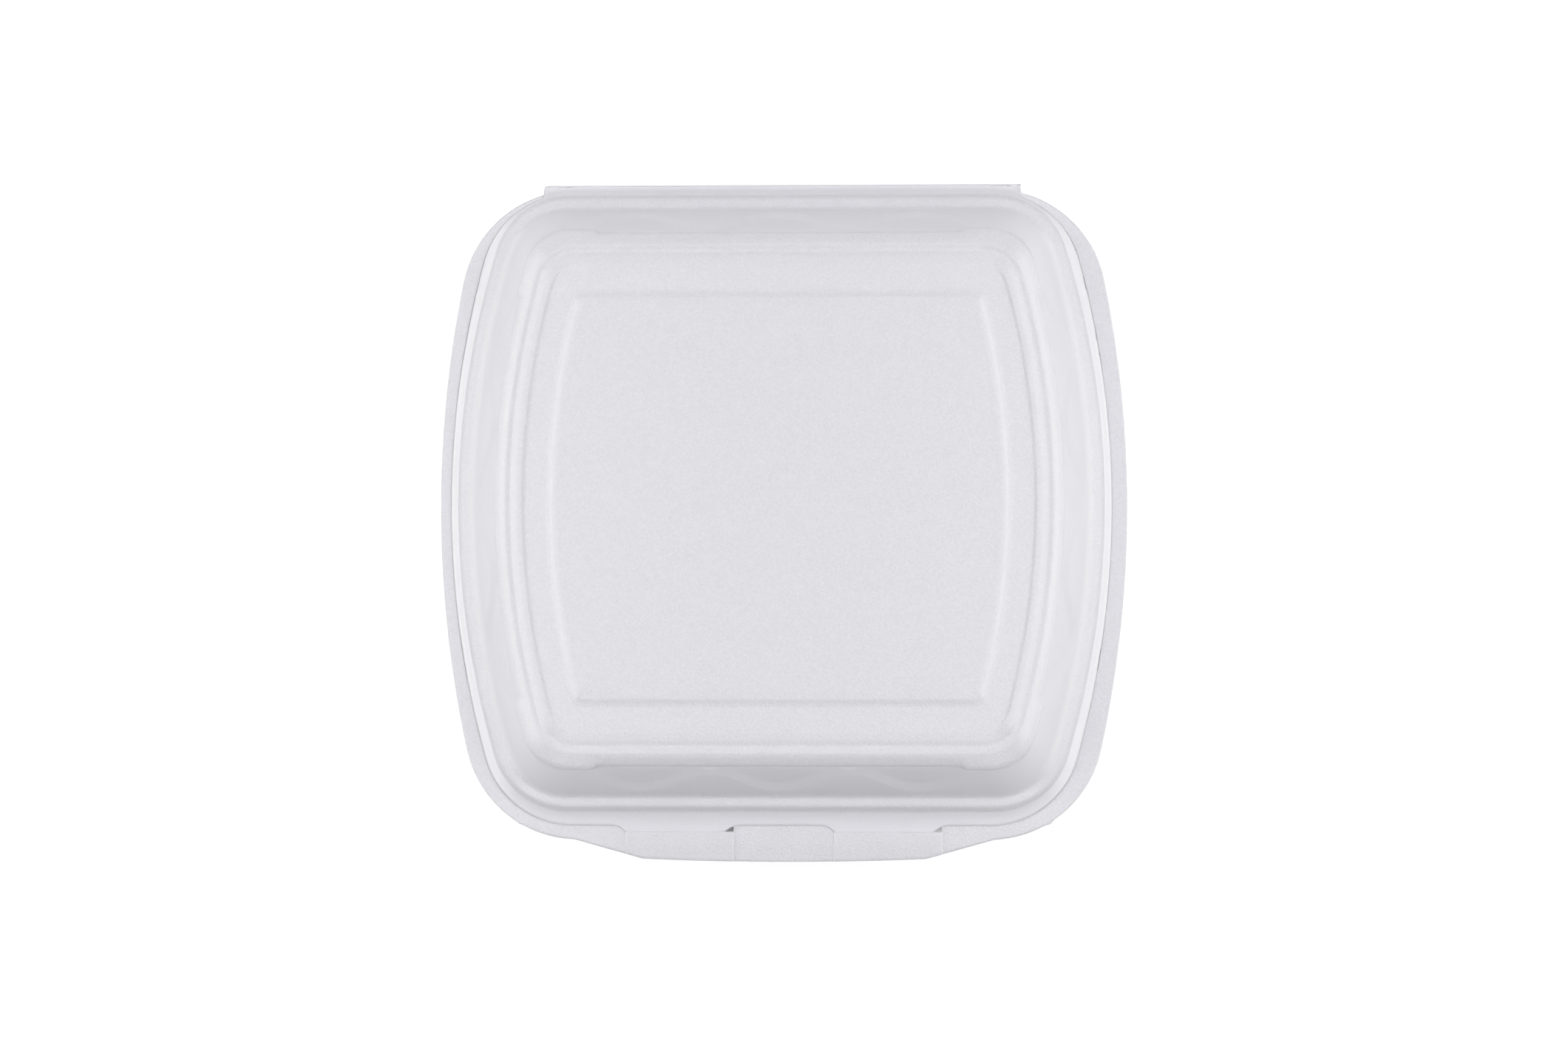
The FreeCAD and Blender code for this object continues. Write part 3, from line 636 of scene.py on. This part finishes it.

# Each crest's painted highlight: inset, half width and how strong. First and second bead, emboss, ring;
# then the front's.
CREST_HIGHLIGHTS = np.array([(16.9, 2.2, 0.55), (21.7, 1.3, 0.3), (34.4, 1.2, 0.5), (4.6, 1.4, 0.5)])
FRONT_RING_HIGHLIGHT = (1.6, 2.2, 0.7)
FLANGE_PAINTED_LIGHT = 0.6
TURN_AIM = (0.6, 0.3)  # the whiteness fades round a corner, as the direction turns
# Painted light: a lighter colour on the crests, on the flange at the sides and on the front ring,
# fading round the corners as the direction turns away from the side lights.
lid_painted_light = np.zeros(lid_points.shape[:2])
crests = (top_inset[:, None] - CREST_HIGHLIGHTS[:, 0]) / CREST_HIGHLIGHTS[:, 1]
lid_painted_light[top_rows] = (np.exp(-crests ** 2) @ CREST_HIGHLIGHTS[:, 2])[:, None]
lid_painted_light[flange_slice] = FLANGE_PAINTED_LIGHT
lid_painted_light *= smooth((np.abs(aims[0, :, 0]) - TURN_AIM[0]) / TURN_AIM[1])
front_ring_highlight = FRONT_RING_HIGHLIGHT[2] * np.exp(-((top_inset - FRONT_RING_HIGHLIGHT[0]) / FRONT_RING_HIGHLIGHT[1]) ** 2)
lid_painted_light[top_rows] += front_ring_highlight[:, None] * smooth((-aims[0, :, 1] - TURN_AIM[0]) / TURN_AIM[1])
give(lid_skin, "painted_light", lid_painted_light)
print("the lid's crests are up to %.2f white" % lid_painted_light.max())

# %% [markdown]
# The tray is made the same way. Its rows start in the middle of the floor, climb the inside of the
# wall, cross the low rim bead and the flange to the trimmed edge, and return under the flange and down
# the outside to the foot.

# %% The tray's section
TRAY_SHEET = 2.2
TRAY_EDGE = 1.8
BEAD_GAP = 0.6  # between the lid's inside and the bead that it closes over
BEAD_IN = LID_SKIN_RUN - LID_X + BEAD_GAP
BEAD_WIDTH = 3.2
BEAD_TOP = 1.7
BEAD_CORNER = 24.5
MOUTH_CORNER = 21.3
FOOT_HALF_WIDTH = 91.0
FOOT_HALF_DEPTH = 86.0
FOOT_ROUND = 2.0  # the foot's round edge runs in by this and up by the next
FOOT_RISE = 2.5
FLOOR_BORDER = 24.0
MOUTH_IN = BEAD_IN + BEAD_WIDTH

foot_side = RIM_HALF_WIDTH - FOOT_HALF_WIDTH
foot_end = RIM_HALF_DEPTH - FOOT_HALF_DEPTH
tray_lean = foot_side - FOOT_ROUND - MOUTH_IN
tray_rise = RIM_Z - FOOT_RISE
tray_slope = math.hypot(tray_lean, tray_rise)
TRAY_SKIN_RUN = TRAY_SHEET * (tray_slope - tray_lean) / tray_rise
HEAD_IN = MOUTH_IN - TRAY_SHEET * tray_slope / tray_rise

# Each row: inset at the sides, inset at the ends, level, corner radius, rounding.
inner_side = foot_side + TRAY_SKIN_RUN
inner_end = foot_end + TRAY_SKIN_RUN
TRAY_INSIDE = np.array([
    (foot_side + FLOOR_BORDER, foot_end + FLOOR_BORDER, TRAY_SHEET, 12.0, 0.0),
    (inner_side, inner_end, TRAY_SHEET, 22.0, 3.0),
    (inner_side - FOOT_ROUND, inner_end - FOOT_ROUND, TRAY_SHEET + FOOT_RISE, 24.0, 2.5),
    (MOUTH_IN, MOUTH_IN, RIM_Z, MOUTH_CORNER, 0.6),
    (MOUTH_IN, MOUTH_IN, RIM_Z + BEAD_TOP, MOUTH_CORNER, 0.7),
    (BEAD_IN + 0.9, BEAD_IN + 0.9, RIM_Z + BEAD_TOP, 23.6, 0.7),
    (BEAD_IN, BEAD_IN, RIM_Z, BEAD_CORNER, 0.0),
])
TRAY_OUTSIDE = np.array([
    (BEAD_IN, BEAD_IN, RIM_Z - TRAY_EDGE, BEAD_CORNER, 0.0),
    (HEAD_IN + 0.65, HEAD_IN + 0.65, RIM_Z - TRAY_EDGE, 24.3, 1.5),
    (foot_side - FOOT_ROUND, foot_end - FOOT_ROUND, FOOT_RISE, 24.0, 2.5),
    (foot_side, foot_end, 0.0, 22.0, 1.5),
    (foot_side + FLOOR_BORDER, foot_end + FLOOR_BORDER, 0.0, 12.0, 0.0),
])
print("the tray's wall leans %.1f mm over %.1f mm" % (tray_lean, tray_rise))

# %% [markdown]
# The tray's flange is wider than the lid's, so that a thumb finds it, and runs out at the front into
# the latch lip. The lip has slanted ends and a slightly bowed front. It is cut by the same die, so it
# is given as a plan function again.

# %% The tray's trimmed edge, with the latch lip
TRAY_ASIDE = 0.3  # the left edge lies twice this further out than the right one
TRAY_FLANGE = dict(half_width=TRAY_EDGE_HALF + TRAY_ASIDE, back=110.0, front=118.0, corner=40.0,
                   bow=400.0)
LIP_ROOT = (93.0, 112.4)
LIP_CORNER = (49.5, 124.7)
LIP_BACK = 100.0


def tray_plan(x, y):
    """The tray's edge seen from above: its flange, the hinge strip and the lip with slanted ends."""
    plan = ring_plan(x + TRAY_ASIDE, y, **TRAY_FLANGE)
    strip = box_plan(x, y, -STRIP_HALF, STRIP_HALF, WELL_INSIDE, FOLD_Y - STRIP_END, STRIP_CORNER)
    fall = (LIP_CORNER[1] - LIP_ROOT[1]) / (LIP_ROOT[0] - LIP_CORNER[0])
    slanted = (-y - LIP_CORNER[1] + fall * (np.abs(x) - LIP_CORNER[0])) / math.hypot(1, fall)
    bow = LIP_TIP - (LIP_TIP - LIP_CORNER[1]) * (x / LIP_CORNER[0]) ** 2
    lip = np.maximum(np.maximum(slanted, -y - bow), np.maximum(LIP_BACK + y, np.abs(x) - LIP_ROOT[0]))
    return np.minimum(np.minimum(plan, strip), lip)


print("the lip reaches %.1f mm past the tray's flange" % (LIP_TIP - TRAY_FLANGE["front"]))

# %% [markdown]
# Two slots in the lip take the lid's tabs, and the strap in front of each is pressed up so that the
# tab snaps under it. A slot could be cut by a boolean, but that leaves ragged cells. Here two rows of
# the grid run along the slots' long edges, and the cells between them are left out.

# %% Where the slots lie on the flange
SLOT_X0 = 17.6
SLOT_X1 = 55.0
SLOT_Y0 = 111.4
SLOT_Y1 = 115.2
FRONT_FADE = (57.5, 14.0)  # beside the slots the rows drift to even shares over this run of x
EVEN_NEAR = 0.34
EVEN_FAR = 0.52
TRAY_FRONT_HALF = 73.2

tray_arcs = [even_steps(26), even_steps(70), even_steps(26)]
tray_walk = [stops(TRAY_FRONT_HALF, 2.0, (SLOT_X0, SLOT_X1), fine=0.3, reach=2.1), *tray_arcs,
             stops(TRAY_FRONT_HALF, 2.6), *tray_arcs]
front_root = RIM_HALF_DEPTH - BEAD_IN
root_places, root_aims = outline(RIM_HALF_WIDTH - BEAD_IN, front_root, front_root, BEAD_CORNER,
                                 SIDE_BOW - BEAD_IN, tray_walk)
tray_reach = reach_out(root_places, root_aims, tray_plan)
slot_near = SLOT_Y0 - front_root
slot_far = SLOT_Y1 - front_root
on_front = 1 - smooth((np.abs(root_places[..., 0]) - FRONT_FADE[0]) / FRONT_FADE[1])
on_front = on_front * (root_places[..., 1] < 0)
near_share = on_front * slot_near / tray_reach + (1 - on_front) * EVEN_NEAR
far_share = on_front * slot_far / tray_reach + (1 - on_front) * EVEN_FAR
steps_before = np.array([0.25, 0.55, 0.8, 1.0])[:, None]
steps_between = np.array([0.34, 0.67, 1.0])[:, None]
steps_after = np.array([0.08, 0.2, 0.4, 0.6, 0.76, 0.88, 0.95])[:, None]
flange_shares = np.concatenate([
    near_share * steps_before,
    near_share + (far_share - near_share) * steps_between,
    far_share + (1 - far_share) * steps_after,
])
SLOT_ROW0 = len(steps_before) - 1
SLOT_ROW1 = SLOT_ROW0 + len(steps_between)
print("the slots lie between flange rows %d and %d" % (SLOT_ROW0, SLOT_ROW1))

# %% The flange's two faces and its round edge
STRAP_RAISE = 0.7
STRAP_LAP = 0.3
DROOP_FROM = 113.0
DROOP_SLOPE = 0.07
LIP_BEND = (119.0, 7.0, 0.5)  # from y, over this run, down by this
TRAY_ROUND = 0.5


def flange_lift(x, y):
    """How far the tray's flange stands off its plane: straps up, the lip's front edge down.

    A strap is a soft step up at each of its ends and across its slot. The droop is a straight slope
    and one more soft step near the front edge.
    """
    ax = np.abs(x)
    over = smooth((ax - SLOT_X0 + STRAP_LAP) / STRAP_LAP)
    over = over * smooth((SLOT_X1 + STRAP_LAP - ax) / STRAP_LAP)
    past = smooth((-y - SLOT_Y0) / (SLOT_Y1 - SLOT_Y0))
    bend = LIP_BEND[2] * smooth((-y - LIP_BEND[0]) / LIP_BEND[1])
    droop = DROOP_SLOPE * np.clip(-y - DROOP_FROM, 0, None) + bend
    return STRAP_RAISE * over * past - droop


flange_places = pushed(root_places, root_aims, tray_reach * flange_shares)
lift = flange_lift(flange_places[..., 0], flange_places[..., 1])
tray_top = with_level(flange_places, RIM_Z + lift)
tray_bottom = with_level(flange_places, RIM_Z - TRAY_EDGE + lift)
edge_places = pushed(root_places, root_aims, tray_reach)
edge_lift = flange_lift(edge_places[..., 0], edge_places[..., 1])
turn = np.linspace(0, 1, EDGE_STEPS)[1:, None] * math.pi / 2
upper = pushed(root_places, root_aims, tray_reach - TRAY_ROUND + TRAY_ROUND * np.sin(turn))
tray_upper = with_level(upper, RIM_Z + edge_lift - TRAY_ROUND + TRAY_ROUND * np.cos(turn))
lower_level = RIM_Z - TRAY_EDGE + edge_lift + TRAY_ROUND - TRAY_ROUND * np.cos(turn[::-1])
tray_lower = with_level(upper[::-1], lower_level)
print("the straps stand up to %.2f mm above the flange's plane" % lift.max())

# %% [markdown]
# The tray's parts are stacked into one grid, from the floor's middle over the flange and back to the
# foot's middle. The slots' cells are left out of both faces, and their rims are walled, so the tray
# is closed too.

# %% The tray's skin
def tray_levels(rows):
    """Outlines at their levels for rows of the tray's section."""
    wide = RIM_HALF_WIDTH - rows[:, 0]
    deep = RIM_HALF_DEPTH - rows[:, 1]
    places, _ = outline(wide, deep, deep, rows[:, 3], SIDE_BOW - rows[:, 0], tray_walk)
    return with_level(places, column(rows[:, 2]))


tray_inner = tray_levels(filled(rounded(TRAY_INSIDE[:, :4], TRAY_INSIDE[:, 4]), longest=6.0))
tray_outer = tray_levels(filled(rounded(TRAY_OUTSIDE[:, :4], TRAY_OUTSIDE[:, 4]), longest=6.0))
floor_middle = tray_inner[:1] * FLAT * MIDDLE_ROWS + UP * tray_inner[0, 0, 2]
foot_middle = tray_outer[-1:] * FLAT * MIDDLE_ROWS[::-1] + UP * tray_outer[-1, 0, 2]
tray_parts = [floor_middle, tray_inner, tray_top, tray_upper, tray_lower, tray_bottom[::-1], tray_outer,
              foot_middle]
tray_points = np.concatenate(tray_parts)
starts = np.cumsum([0] + [len(part) for part in tray_parts])
top_start = starts[2]
bottom_end = starts[6] - 1
columns = tray_points.shape[1]
x = root_places[0, :, 0]
y = root_places[0, :, 1]
CLOSE = 0.01
in_slot = (np.abs(x) > SLOT_X0 - CLOSE) & (np.abs(x) < SLOT_X1 + CLOSE) & (y < 0)
slot_cell = in_slot & np.roll(in_slot, -1)
holes = np.zeros((len(tray_points) - 1, columns), bool)
holes[top_start + SLOT_ROW0:top_start + SLOT_ROW1] |= slot_cell
holes[bottom_end - SLOT_ROW1:bottom_end - SLOT_ROW0] |= slot_cell


def slot_walls():
    """Quads round the rim of each slot, from the flange's upper face to its lower one."""
    cell = np.nonzero(slot_cell)[0]
    near = np.nonzero(slot_cell & ~np.roll(slot_cell, 1))[0]
    far = np.nonzero(slot_cell & ~np.roll(slot_cell, -1))[0] + 1
    rows = np.arange(SLOT_ROW0, SLOT_ROW1)[:, None]

    def wall(row_a, column_a, row_b, column_b):
        upper_a = (top_start + row_a) * columns + column_a
        upper_b = (top_start + row_b) * columns + column_b
        lower_a = (bottom_end - row_a) * columns + column_a
        lower_b = (bottom_end - row_b) * columns + column_b
        return np.stack([upper_a, lower_a, lower_b, upper_b], -1).reshape(-1, 4)

    return np.concatenate([
        wall(SLOT_ROW0, cell, SLOT_ROW0, cell + 1),
        wall(SLOT_ROW1, cell + 1, SLOT_ROW1, cell),
        wall(rows + 1, near, rows, near),
        wall(rows, far, rows + 1, far),
    ])


tray_skin = skin("tray_skin", tray_points, holes, slot_walls())
give(tray_skin, "grain", np.ones(tray_points.shape[:2]))

# %% [markdown]
# Where a strap is pressed up, the foam beside it is folded sharply, and the fold's edge catches the
# light.
# The points in the folds' lines carry a painted highlight for it.

# %% The painted highlights on the folds beside the straps
FOLD_NEAR = 0.1
side_of_middle = np.abs(tray_points[..., 0])
across_fold = np.minimum(np.abs(side_of_middle - SLOT_X0), np.abs(side_of_middle - SLOT_X1))
fold_highlight = (across_fold < FOLD_NEAR) & (tray_points[..., 1] < -SLOT_Y1)
# a painted highlight along the folds' lines
give(tray_skin, "painted_light", fold_highlight)
print("points in the whitened folds:", fold_highlight.sum())

# %% [markdown]
# The two halves are one sheet, pressed thin along the fold. When the lid opens, that thin line turns
# half with the lid. It could be cut from either half, but then it would tear open as a gap. So it is a
# slim roll of its own between the two strips.

# %% The pressed fold
FOLD_HALF_WIDTH = 0.3
FOLD_HALF_HEIGHT = 0.9
FOLD_SHORT = 0.3  # the roll ends this far inside the strips' ends
FOLD_SUNK = 0.25  # and lies this far in front of the fold line
FOLD_GRAIN = 0.5
fold_x = np.linspace(-STRIP_HALF + FOLD_SHORT, STRIP_HALF - FOLD_SHORT, 41)[:, None]
fold_turn = np.linspace(0, 2 * math.pi, 24, endpoint=False)[None, :]
fold_points = np.stack([
    fold_x + 0 * fold_turn,
    FOLD_Y - FOLD_SUNK + FOLD_HALF_WIDTH * np.cos(fold_turn) + 0 * fold_x,
    RIM_Z + FOLD_HALF_HEIGHT * np.sin(fold_turn) + 0 * fold_x,
], -1)
fold_roll = skin("fold_roll", fold_points)
give(fold_roll, "grain", np.full(fold_points.shape[:2], FOLD_GRAIN))

# %% [markdown]
# A finish is a small net of nodes. Hex colours are easy to read, but a shader works with linear light,
# so one function turns them. Another adds a node with its settings, values and links.

# %% Colours and nodes
def foam_colour(code):
    """A hex colour in sRGB as the linear numbers that a shader works with."""
    parts = [int(code[i:i + 2], 16) / 255 for i in (1, 3, 5)]
    linear = [p / 12.92 if p <= 0.04045 else ((p + 0.055) / 1.055) ** 2.4 for p in parts]
    return (*linear, 1.0)


def add_node(tree, kind, links=None, values=None, **settings):
    """One node with its settings, the values of its sockets and the links into them."""
    node = tree.nodes.new(kind)
    for name, value in settings.items():
        setattr(node, name, value)
    for socket, value in (values or {}).items():
        node.inputs[socket].default_value = value
    for socket, source in (links or {}).items():
        tree.links.new(source, node.inputs[socket])
    return node


print("the foam's pale cells in linear light: %.2f %.2f %.2f" % foam_colour("#F3F3F6")[:3])

# %% [markdown]
# One foam for both halves. Expanded polystyrene sheet is white with a cold tint, and its cells leave a
# fine grain, which the eye reads as soft and light. A flat white would look like paint. So the cells
# stand out a little and are a little darker between them, and a slow unevenness breaks up the flats.
# The crests and the folds beside the straps get a painted highlight, a lighter colour where the side
# lights catch them, and one dark speck of dirt is on the top.

# %% Numbers of the foam
CELLS_PER_METRE = 1500.0  # a cell of about 0.67 mm; real ones of 0.3 mm would be too fine to see
WAVES_PER_METRE = 70.0  # the sheet is uneven over about 14 mm
ROUGH_PER_METRE = 520.0  # the stretched bead is rough over about 2 mm
WAVE_SHARE = 0.2
BUMP_MM = 0.25
CELL_SHADE = (0.3, 0.7)  # the noise goes from dark to pale cells between these
DARK_CELLS = "#E8E8EB"
PALE_CELLS = "#F3F3F6"
# the colour of the painted highlight on the crests, the flange and the folds
PAINTED_LIGHT_COLOUR = "#FFFFFF"
DIRT = "#9B979A"
SPECK = (-1.93, 71.3, 73.0)
SPECK_CORE = 0.2
SPECK_EDGE = 0.5
FOAM_ROUGHNESS = 0.35  # the mould's polish leaves a faint sheen on the skin
FOAM_IOR = 1.59  # polystyrene
FOAM_SPECULAR = 0.75


# %% Polystyrene foam
def polystyrene_foam():
    """White foam sheet with its grain, its slow unevenness, painted highlights on its crests and folds,
    and one dark speck.

    The relief is the cells' noise times the grain, plus a fifth of the slow noise, plus the rough
    noise where the sheet is stretched.
    """
    material = bpy.data.materials.new("polystyrene_foam")
    material.use_nodes = True
    tree = material.node_tree
    tree.nodes.clear()
    place = add_node(tree, "ShaderNodeTexCoord").outputs["Object"]
    grain = add_node(tree, "ShaderNodeAttribute", attribute_name="grain").outputs["Fac"]
    stretch = add_node(tree, "ShaderNodeAttribute", attribute_name="stretch").outputs["Fac"]
    # how much painted light each point gets, given at the points
    painted_light = add_node(tree, "ShaderNodeAttribute", attribute_name="painted_light").outputs["Fac"]

    # the cells, which give the grain
    cells = add_node(tree, "ShaderNodeTexNoise", {"Vector": place},
                     {"Scale": CELLS_PER_METRE, "Detail": 3.0, "Roughness": 0.7})
    relief = add_node(tree, "ShaderNodeMath", {0: cells.outputs["Fac"], 1: grain},
                      operation="MULTIPLY").outputs["Value"]

    # the slow unevenness, which keeps the flats from looking like plate
    waves = add_node(tree, "ShaderNodeTexNoise", {"Vector": place},
                     {"Scale": WAVES_PER_METRE, "Detail": 1.0})
    slow = add_node(tree, "ShaderNodeMath", {0: waves.outputs["Fac"], 2: relief}, {1: WAVE_SHARE},
                    operation="MULTIPLY_ADD")

    # the small puckers on the stretched bead
    pulled = add_node(tree, "ShaderNodeTexNoise", {"Vector": place},
                      {"Scale": ROUGH_PER_METRE, "Detail": 2.0})
    uneven = add_node(tree, "ShaderNodeMath",
                      {0: pulled.outputs["Fac"], 1: stretch, 2: slow.outputs["Value"]},
                      operation="MULTIPLY_ADD")
    bump = add_node(tree, "ShaderNodeBump", {"Height": uneven.outputs["Value"]},
                    {"Strength": 1.0, "Distance": BUMP_MM * MM})

    # the foam's own colour, darker between the cells, with painted highlights on the crests and folds
    depth = add_node(tree, "ShaderNodeMapRange", {"Value": relief},
                     {"From Min": CELL_SHADE[0], "From Max": CELL_SHADE[1]})
    cellular = add_node(tree, "ShaderNodeMix", {"Factor": depth.outputs["Result"]}, data_type="RGBA")
    cellular.inputs["A"].default_value = foam_colour(DARK_CELLS)
    cellular.inputs["B"].default_value = foam_colour(PALE_CELLS)
    highlighted = add_node(tree, "ShaderNodeMix", {"Factor": painted_light}, data_type="RGBA")
    tree.links.new(cellular.outputs["Result"], highlighted.inputs["A"])
    highlighted.inputs["B"].default_value = foam_colour(PAINTED_LIGHT_COLOUR)

    # the one dark speck, by its distance from a point on the top
    speck = add_node(tree, "ShaderNodeVectorMath", {0: place}, {1: [value * MM for value in SPECK]},
                     operation="DISTANCE")
    dirt = add_node(tree, "ShaderNodeMapRange", {"Value": speck.outputs["Value"]},
                    {"From Min": SPECK_CORE * MM, "From Max": SPECK_EDGE * MM, "To Min": 1.0,
                     "To Max": 0.0})
    colour = add_node(tree, "ShaderNodeMix", {"Factor": dirt.outputs["Result"]}, data_type="RGBA")
    tree.links.new(highlighted.outputs["Result"], colour.inputs["A"])
    colour.inputs["B"].default_value = foam_colour(DIRT)

    shader = add_node(tree, "ShaderNodeBsdfPrincipled",
                      {"Normal": bump.outputs["Normal"], "Base Color": colour.outputs["Result"]},
                      {"Roughness": FOAM_ROUGHNESS, "IOR": FOAM_IOR,
                       "Specular IOR Level": FOAM_SPECULAR})
    add_node(tree, "ShaderNodeOutputMaterial", {"Surface": shader.outputs["BSDF"]})
    return material


foam = polystyrene_foam()
print("the foam has %d nodes" % len(foam.node_tree.nodes))

# %% [markdown]
# Each skin now rides on a body of the frame: the lid's skin turns with the lid, the tray's with the
# tray. The fold's roll is left where it is.

# %% What moves with what
for piece in (lid_skin, tray_skin, fold_roll):
    piece.data.materials.append(foam)
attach(lid_skin, "lid")
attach(tray_skin, "tray")
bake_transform(fold_roll)
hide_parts("lid")
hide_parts("base_tray")
print("pieces:", lid_skin.name, tray_skin.name, fold_roll.name)

# %% [markdown]
# The ground should be quite bright and shadowless, as on a light table. A plain floor under these
# lights would still be grey, so the floor glows. Under the container it gives no light, a painted
# shadow that makes the slots look dark, and it glows less far off, so that it doesn't light the walls
# too much.

# %% Floor
FLOOR_GLOW = 0.78
FLOOR_LEVEL = -0.5
# painted shadow: the floor gives no light under the container up to this distance
PAINTED_SHADOW_TO = (109.0, 6.5)  # dark up to this distance, then a soft step over this run
WEAKER_FROM = (380, 400, 0.4)  # from this distance, over this run, by this share
NEAR_FLOOR = 150
NEAR_STEPS = 121
FAR_STEPS = 25
FAR_GROWTH = 1.13
MIDDLE_Y = (tray_low[1] + tray_high[1]) / 2


def floor_glow_and_painted_shadow(x, y):
    """How strongly the floor glows: no light under the container, as a painted shadow, full round it,
    weaker further off.

    The distance is that of a rounded square, (x^4 + y^4)^(1/4), in mm from the container's middle.
    """
    away = (x ** 4 + (y - MIDDLE_Y) ** 4) ** 0.25
    # the painted shadow under the container
    dark = smooth((away - PAINTED_SHADOW_TO[0]) / PAINTED_SHADOW_TO[1])
    far = smooth((np.hypot(x, y) - WEAKER_FROM[0]) / WEAKER_FROM[1])
    return FLOOR_GLOW * dark * (1 - WEAKER_FROM[2] * far)


near_steps = np.linspace(-NEAR_FLOOR, NEAR_FLOOR, NEAR_STEPS)
far_steps = NEAR_FLOOR * FAR_GROWTH ** np.arange(1, FAR_STEPS + 1)
steps = np.concatenate([-far_steps[::-1], near_steps, far_steps])
across = len(steps)
floor_x, floor_y = np.meshgrid(steps, steps)
floor_places = np.stack([floor_x, floor_y, 0 * floor_x + FLOOR_LEVEL], -1).reshape(-1, 3) * MM
corner = (np.arange(across - 1)[:, None] * across + np.arange(across - 1)).ravel()
floor_faces = np.stack([corner, corner + 1, corner + across + 1, corner + across], -1)
floor_mesh = bpy.data.meshes.new("floor")
floor_mesh.from_pydata(floor_places, [], floor_faces.tolist())
glow_and_painted_shadow = floor_mesh.attributes.new("glow_and_painted_shadow", "FLOAT", "POINT")
glow_and_painted_shadow.data.foreach_set("value", floor_glow_and_painted_shadow(floor_x, floor_y).ravel())
floor = bpy.data.objects.new("floor", floor_mesh)
bpy.context.scene.collection.objects.link(floor)
print("the floor reaches %.1f m from the middle" % (steps[-1] * MM))

# %% The floor's finish
floor_material = bpy.data.materials.new("pale_floor")
floor_material.use_nodes = True
paint = floor_material.node_tree.nodes["Principled BSDF"]
paint.inputs["Base Color"].default_value = foam_colour("#9A9A9A")
paint.inputs["Roughness"].default_value = 0.9
paint.inputs["Emission Color"].default_value = (1.0, 1.0, 1.0, 1.0)
# the floor's light, with the painted shadow under the container
glow_and_shadow_node = add_node(floor_material.node_tree, "ShaderNodeAttribute", attribute_name="glow_and_painted_shadow")
floor_material.node_tree.links.new(glow_and_shadow_node.outputs["Fac"], paint.inputs["Emission Strength"])
floor_mesh.materials.append(floor_material)
print("the floor's material:", floor_material.name)

# %% [markdown]
# The photo shows bright side walls and crests, a darker back and a much darker front, so the light
# comes mostly from both sides and from above. Large lights far off give the even part. Two small ones
# near the rim brighten what faces them, and low ones reach the steep walls. None stands at the front.

# %% Light
scene = bpy.context.scene
scene.view_settings.view_transform = "Standard"
world = bpy.data.worlds.new("studio")
world.use_nodes = True
world.node_tree.nodes["Background"].inputs["Color"].default_value = (1.0, 1.0, 1.0, 1.0)
world.node_tree.nodes["Background"].inputs["Strength"].default_value = 0.02
scene.world = world

COOL = "#FAF9FF"
NEUTRAL = "#FFFEFD"
RIGHT_SIDE = 0
BEHIND = 90
LEFT_SIDE = 180


def soft_light(name, azimuth, elevation, power, width=1.5, height=1.5, distance=2.4, tint=COOL):
    """A flat soft light that looks at the rim's middle from that side and height, in degrees."""
    light = bpy.data.lights.new(name, "AREA")
    light.energy = power
    light.color = foam_colour(tint)[:3]
    light.shape = "RECTANGLE"
    light.size = width
    light.size_y = height
    lamp = bpy.data.objects.new(name, light)
    a = math.radians(azimuth)
    e = math.radians(elevation)
    aim = np.array([math.cos(e) * math.cos(a), math.cos(e) * math.sin(a), math.sin(e)])
    lamp.location = aim * distance + np.array([0, 0, RIM_Z * MM])
    lamp.rotation_euler = (math.pi / 2 - e, 0, a + math.pi / 2)
    scene.collection.objects.link(lamp)


soft_light("top_light", RIGHT_SIDE, 90, 10.9)
soft_light("high_right_light", RIGHT_SIDE, 60, 14.6)
soft_light("high_left_light", LEFT_SIDE, 60, 9.0)
soft_light("low_left_light", LEFT_SIDE, 25, 6.0, width=2.4, height=0.9, tint=NEUTRAL)
soft_light("level_right_light", RIGHT_SIDE, 9, 5.6, width=2.4, height=0.6, tint=NEUTRAL)
near = dict(width=0.7, height=0.2, distance=0.5, tint=NEUTRAL)
soft_light("near_right_light", RIGHT_SIDE, 35, 0.85, **near)
soft_light("near_left_light", LEFT_SIDE, 35, 0.90, **near)
soft_light("back_light", BEHIND, 35, 2.0)
soft_light("level_back_light", BEHIND, 9, 6.0, width=2.4, height=0.6)
print("lights:", len(bpy.data.lights))

# %% [markdown]
# The photo was taken from above, but not quite: more of the wall shows at the right and at the front.
# So the camera leans a little to both. Its lens follows from the distance and from how many pixels of
# the photo a millimetre of the rim takes.

# %% Camera
CAMERA_LEAN_RIGHT = math.radians(1.5)
CAMERA_LEAN_FRONT = math.radians(2.6)
CAMERA_DISTANCE = 1100.0
PIXELS_PER_MM = 3.8625
IMAGE_WIDTH = 2121
SENSOR_WIDTH = 36.0
AIM_DOWN = 0.1

camera_data = bpy.data.cameras.new("camera")
camera_data.sensor_width = SENSOR_WIDTH
camera_data.lens = SENSOR_WIDTH * CAMERA_DISTANCE * PIXELS_PER_MM / IMAGE_WIDTH
camera = bpy.data.objects.new("camera", camera_data)
target = np.array([0.0, MIDDLE_Y - AIM_DOWN, RIM_Z])
back = np.array([math.tan(CAMERA_LEAN_RIGHT), -math.tan(CAMERA_LEAN_FRONT), 1.0])
back /= np.linalg.norm(back)
right = np.cross([0, 1, 0], back)
right /= np.linalg.norm(right)
matrix = np.eye(4)
matrix[:3, 0] = right
matrix[:3, 1] = np.cross(back, right)
matrix[:3, 2] = back
matrix[:3, 3] = (target + back * CAMERA_DISTANCE) * MM
camera.matrix_world = Matrix(matrix.tolist())
scene.collection.objects.link(camera)
scene.camera = camera
print("lens: %.1f mm" % camera_data.lens)
